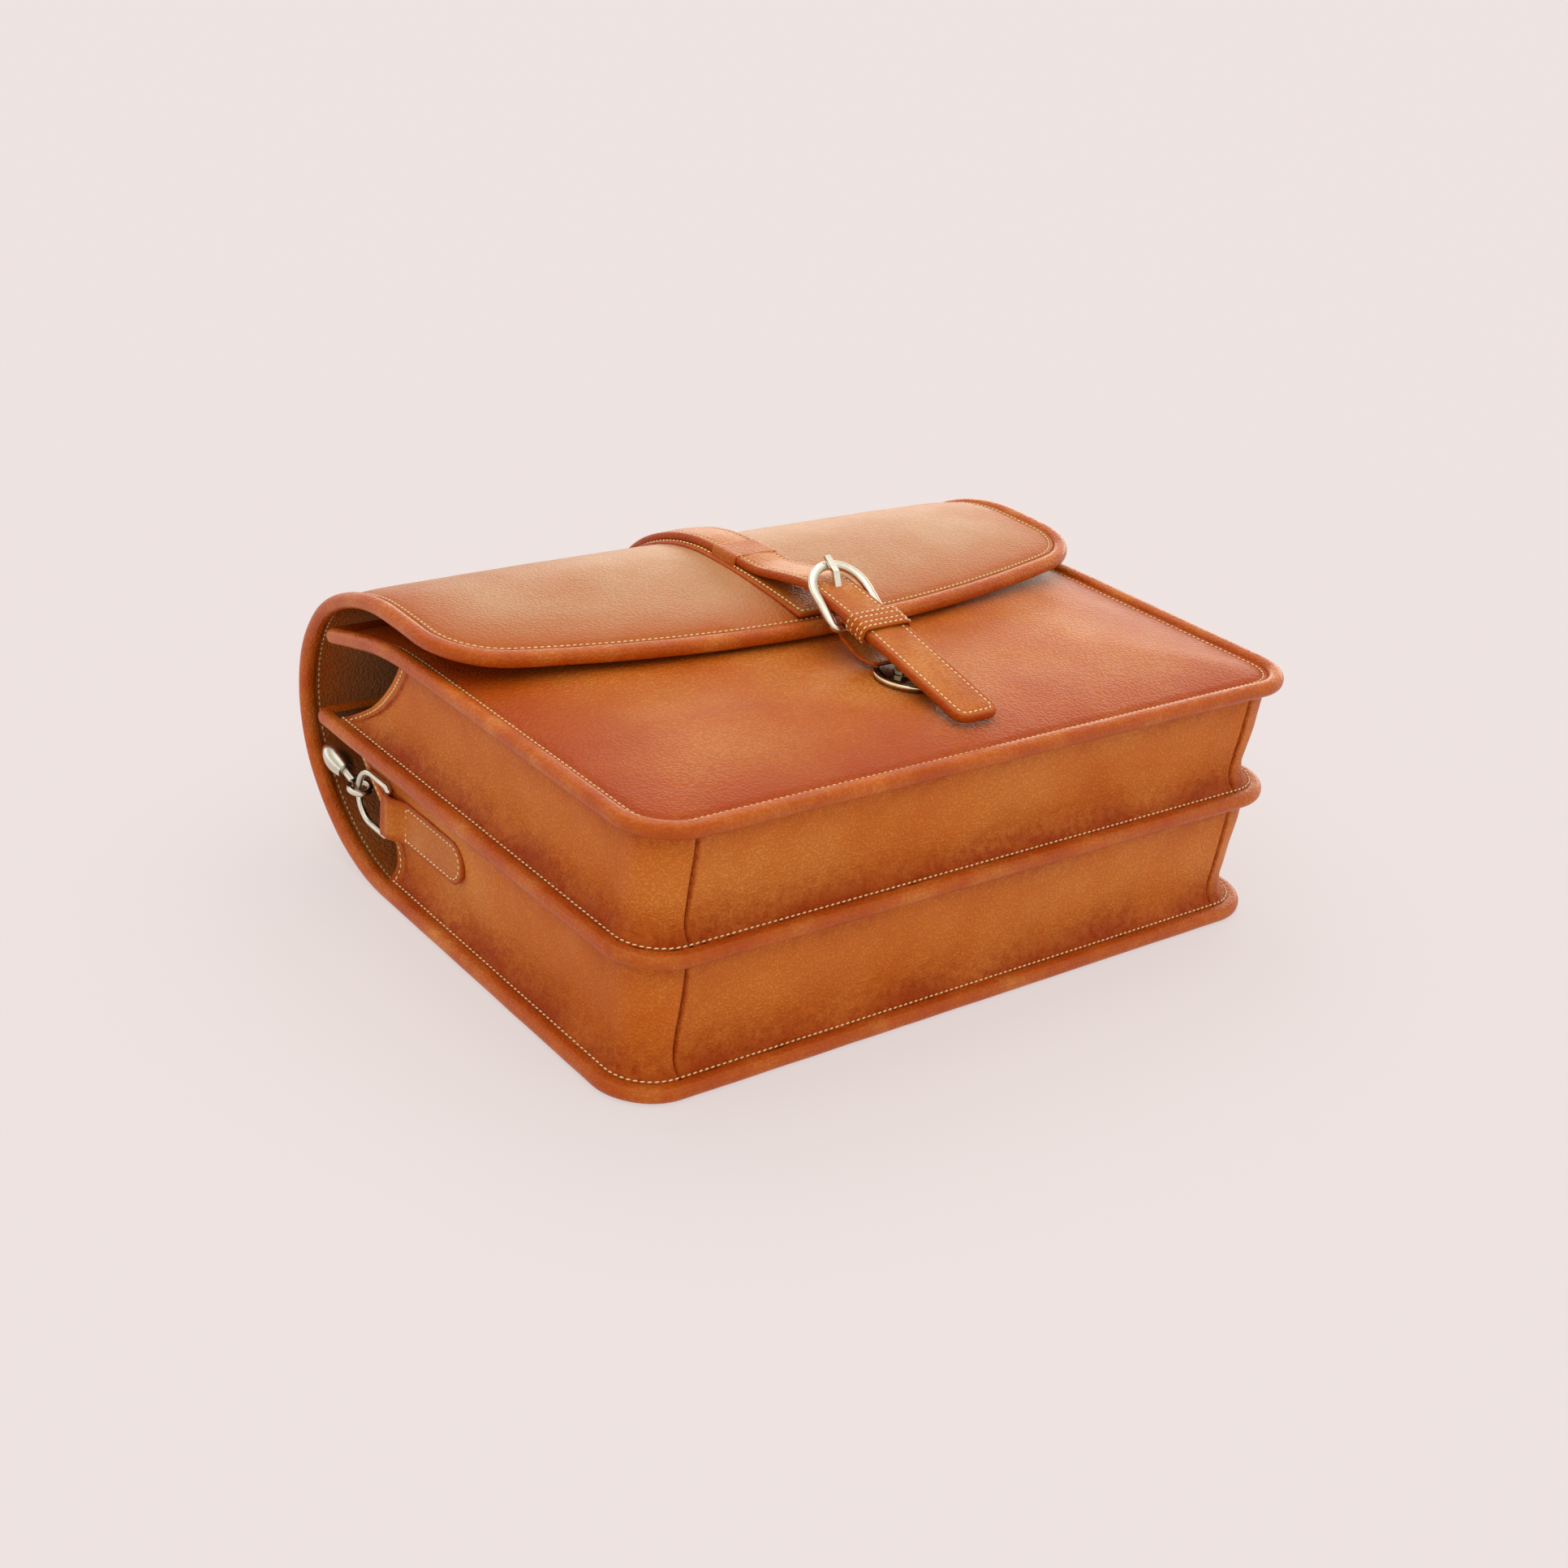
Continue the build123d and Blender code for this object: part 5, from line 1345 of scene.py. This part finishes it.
for side, word in ((-1, "left"), (1, "right")):
    low, high = gripTop - 6.0, chapeBox[1].z / mm
    thick = (chapeBox[1].y - chapeBox[0].y) / mm

    def chapeSurface(a, s, x0=side * pivot, y0=handleY - thick / 2):
        a, s = paired(a, s)
        return np.stack([x0 - a, y0 + 0 * a, s], -1), np.stack([0 * a, 1 + 0 * a, 0 * a], -1)

    chape = strapPiece(f"handle_chape_{word}_leaf", chapeSurface, handleShape["chape"], low, high,
                       thick, 3.0, 2.5, {"edge": 2.6, "groove": 0.2, "stitch": 2.4, "crown": 0.0})
    seat(chape, "handle", f"handle_chape_{word}")
    strapRow("handle_stitches", chapeSurface, handleShape["chape"], low, high - 4.0, 3.0, 2.4,
             thick - 0.1, True)
    halfRing, drop, r = handleShape["ringWidth"] / 2, handleShape["ringDrop"], handleShape["ringRound"]
    pairs = np.array(
        arc((halfRing - r, -drop + r), r, 0, -90, 0.5) + arc((-halfRing + r, -drop + r), r, -90, -180, 0.5)
        + arc((-halfRing + r, -r), r, 180, 90, 0.5) + arc((halfRing - r, -r), r, 90, 0, 0.5))
    loop = np.stack([side * pivot + pairs[:, 0], np.full(len(pairs), handleY), handleZ + pairs[:, 1]], -1)
    wireLink = wireRing(f"handle_link_{word}", loop, (0, 1, 0), handleShape["wire"])
    seat(dress(wireLink, "nickel", "satin_nickel"), "handle", f"handle_ring_{word}")

    def tabFace(a, s, x0=side * pivot):
        points, normals = curveSurface(-np.asarray(a, float), np.asarray(s, float))
        points = points + np.array([x0, 0.0, 0.0])
        return points - normals * 0.6, normals

    centre = startOf[1] + sideCurve["midRadius"] * math.radians(-sideCurve["lowEnd"])
    tabHalf = (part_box("handle_tab_left")[1].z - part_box("handle_tab_left")[0].z) / mm / 2
    low, high, tabFlat = centre - tabHalf, centre + tabHalf, flipped(tabFace, 2 * centre)
    half, thick = handleShape["tabHalf"], handleShape["tabThick"]
    handleTab = strapPiece(f"handle_tab_{word}_leaf", tabFlat, half, low, high, thick, 4.0, 4.0,
                           {"edge": 1.0, "groove": 0.25, "stitch": 2.4, "crown": 0.0})
    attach(handleTab, "spine")
    strapRow("spine_stitches", tabFlat, half, low, high, 4.0, 2.4, thick - 0.05, True)
print("handle made")

tree, sockets = stitchTree(stitchLook, finishes["thread"])
riders = {
    "bag_stitches": "bag", "strap_stitches": "flap", "keeper_stitches": "keeper", "handle_stitches": "handle",
    "spine_stitches": "spine",
}
for group in rows:
    stitches = sew(group, tree, sockets, stitchLook, finishes["thread"])
    if group in riders:
        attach(stitches, riders[group])
    else:
        bend(stitches, "bag" if group == "back_stitches" else "flap")
    print("sewn:", group, len(stitches.data.polygons), "faces")

# finishes of the frame's own nodes that stay in view
nodeFinish = {
    "board": ("back_board",),
    "lining": ("back_lining",),
    "inside": ("middle_panel", "inner_pocket"),
    "cord": ("handle_core",),
    "nickel": ("handle_rivets", "buckle_prong", "hook_body", "hook_gate", "hook_swivel"),
    "chrome": ("clasp_base", "clasp_tongue", "clasp_screws"),
    "rim": ("clasp_knob",),
    "strap": ("handle_tab_left", "handle_tab_right"),
}
for finish, nodes in nodeFinish.items():
    for node in nodes:
        paint(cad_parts[node].data, finish)

stageLook = {
    "floor": (0.21, 0.19, 0.186), "floorGlow": (0.847, 0.768, 0.753), "glow": 0.70, "floorHalf": 40,
    "worldStrength": 1.5, "sunStrength": 0.5, "sheenPower": 14.0,
}
floorMesh = bpy.data.meshes.new("floor")
far = stageLook["floorHalf"]
floorMesh.from_pydata([(-far, -far, 0), (far, -far, 0), (far, far, 0), (-far, far, 0)], [], [(0, 1, 2, 3)])
floor = link("floor", floorMesh)
floorMaterial, _, floorShader = newMaterial("pale_floor")
fill(floorShader, {
    "Base Color": (*stageLook["floor"], 1.0), "Roughness": 0.9, "Specular IOR Level": 0.0,
    "Emission Color": (*stageLook["floorGlow"], 1.0), "Emission Strength": stageLook["glow"],
})
floorMesh.materials.append(floorMaterial)

world = bpy.data.worlds.new("studio")
bpy.context.scene.world = world
world.use_nodes = True
sky = world.node_tree
split = sky.nodes.new("ShaderNodeSeparateXYZ")
sky.links.new(sky.nodes.new("ShaderNodeTexCoord").outputs["Generated"], split.inputs[0])
skyTone = ramp(sky, split.outputs["Z"], (
    (0.0, (1.0, 0.99, 0.97)), (0.16, (0.95, 0.93, 0.9)), (0.34, (0.42, 0.40, 0.37)), (0.6, (0.5, 0.48, 0.46)),
    (0.85, (1.0, 0.99, 0.97))))
background = sky.nodes["Background"]
sky.links.new(skyTone, background.inputs["Color"])
background.inputs["Strength"].default_value = stageLook["worldStrength"]


def aimedLight(name, kind, position, target, size=1.0, energy=10.0, colour=(1, 1, 1)):
    data = bpy.data.lights.new(name, kind)
    data.energy = energy
    data.color = colour
    if kind == "AREA":
        data.shape = "RECTANGLE"
        data.size, data.size_y = size
    else:
        data.angle = math.radians(size)
    light = link(name, data)
    aim = Vector(target) - Vector(position)
    light.location = position
    light.rotation_euler = aim.to_track_quat("-Z", "Y").to_euler()
    return light


aimedLight("overhead_key", "SUN", (0.4, 0.7, 1.5), (0.0, 0.0, 0.1), 45.0, stageLook["sunStrength"],
           (1.0, 0.98, 0.95))
sheenLight = aimedLight("back_softbox", "AREA", (1.9, 1.45, 0.45), (0.0, 0.0, 0.14), (2.4, 0.7),
                        stageLook["sheenPower"], (1.0, 0.93, 0.74))
sheenLight.visible_diffuse = False

cameraPlace = {
    "position": (-0.66171, -0.63809 + bottomEdge, 0.53403),
    "yaw": 39.53, "pitch": 25.093, "roll": 5.847, "lens": 50.08,
}


def makeCamera(place):
    yaw, pitch, roll = [math.radians(place[key]) for key in ("yaw", "pitch", "roll")]
    forward = Vector((math.sin(yaw) * math.cos(pitch), math.cos(yaw) * math.cos(pitch), -math.sin(pitch)))
    right = Vector((math.cos(yaw), -math.sin(yaw), 0.0))
    up = right.cross(forward)
    tiltedRight = right * math.cos(roll) + up * math.sin(roll)
    tiltedUp = up * math.cos(roll) - right * math.sin(roll)
    data = bpy.data.cameras.new("camera")
    data.lens, data.sensor_width = place["lens"], 36.0
    data.clip_end = 200.0
    camera = link("camera", data)
    turn = Matrix((tiltedRight, tiltedUp, -forward)).transposed().to_4x4()
    camera.matrix_world = Matrix.Translation(place["position"]) @ turn
    bpy.context.scene.camera = camera


makeCamera(cameraPlace)
bpy.context.scene.view_settings.view_transform = "Standard"
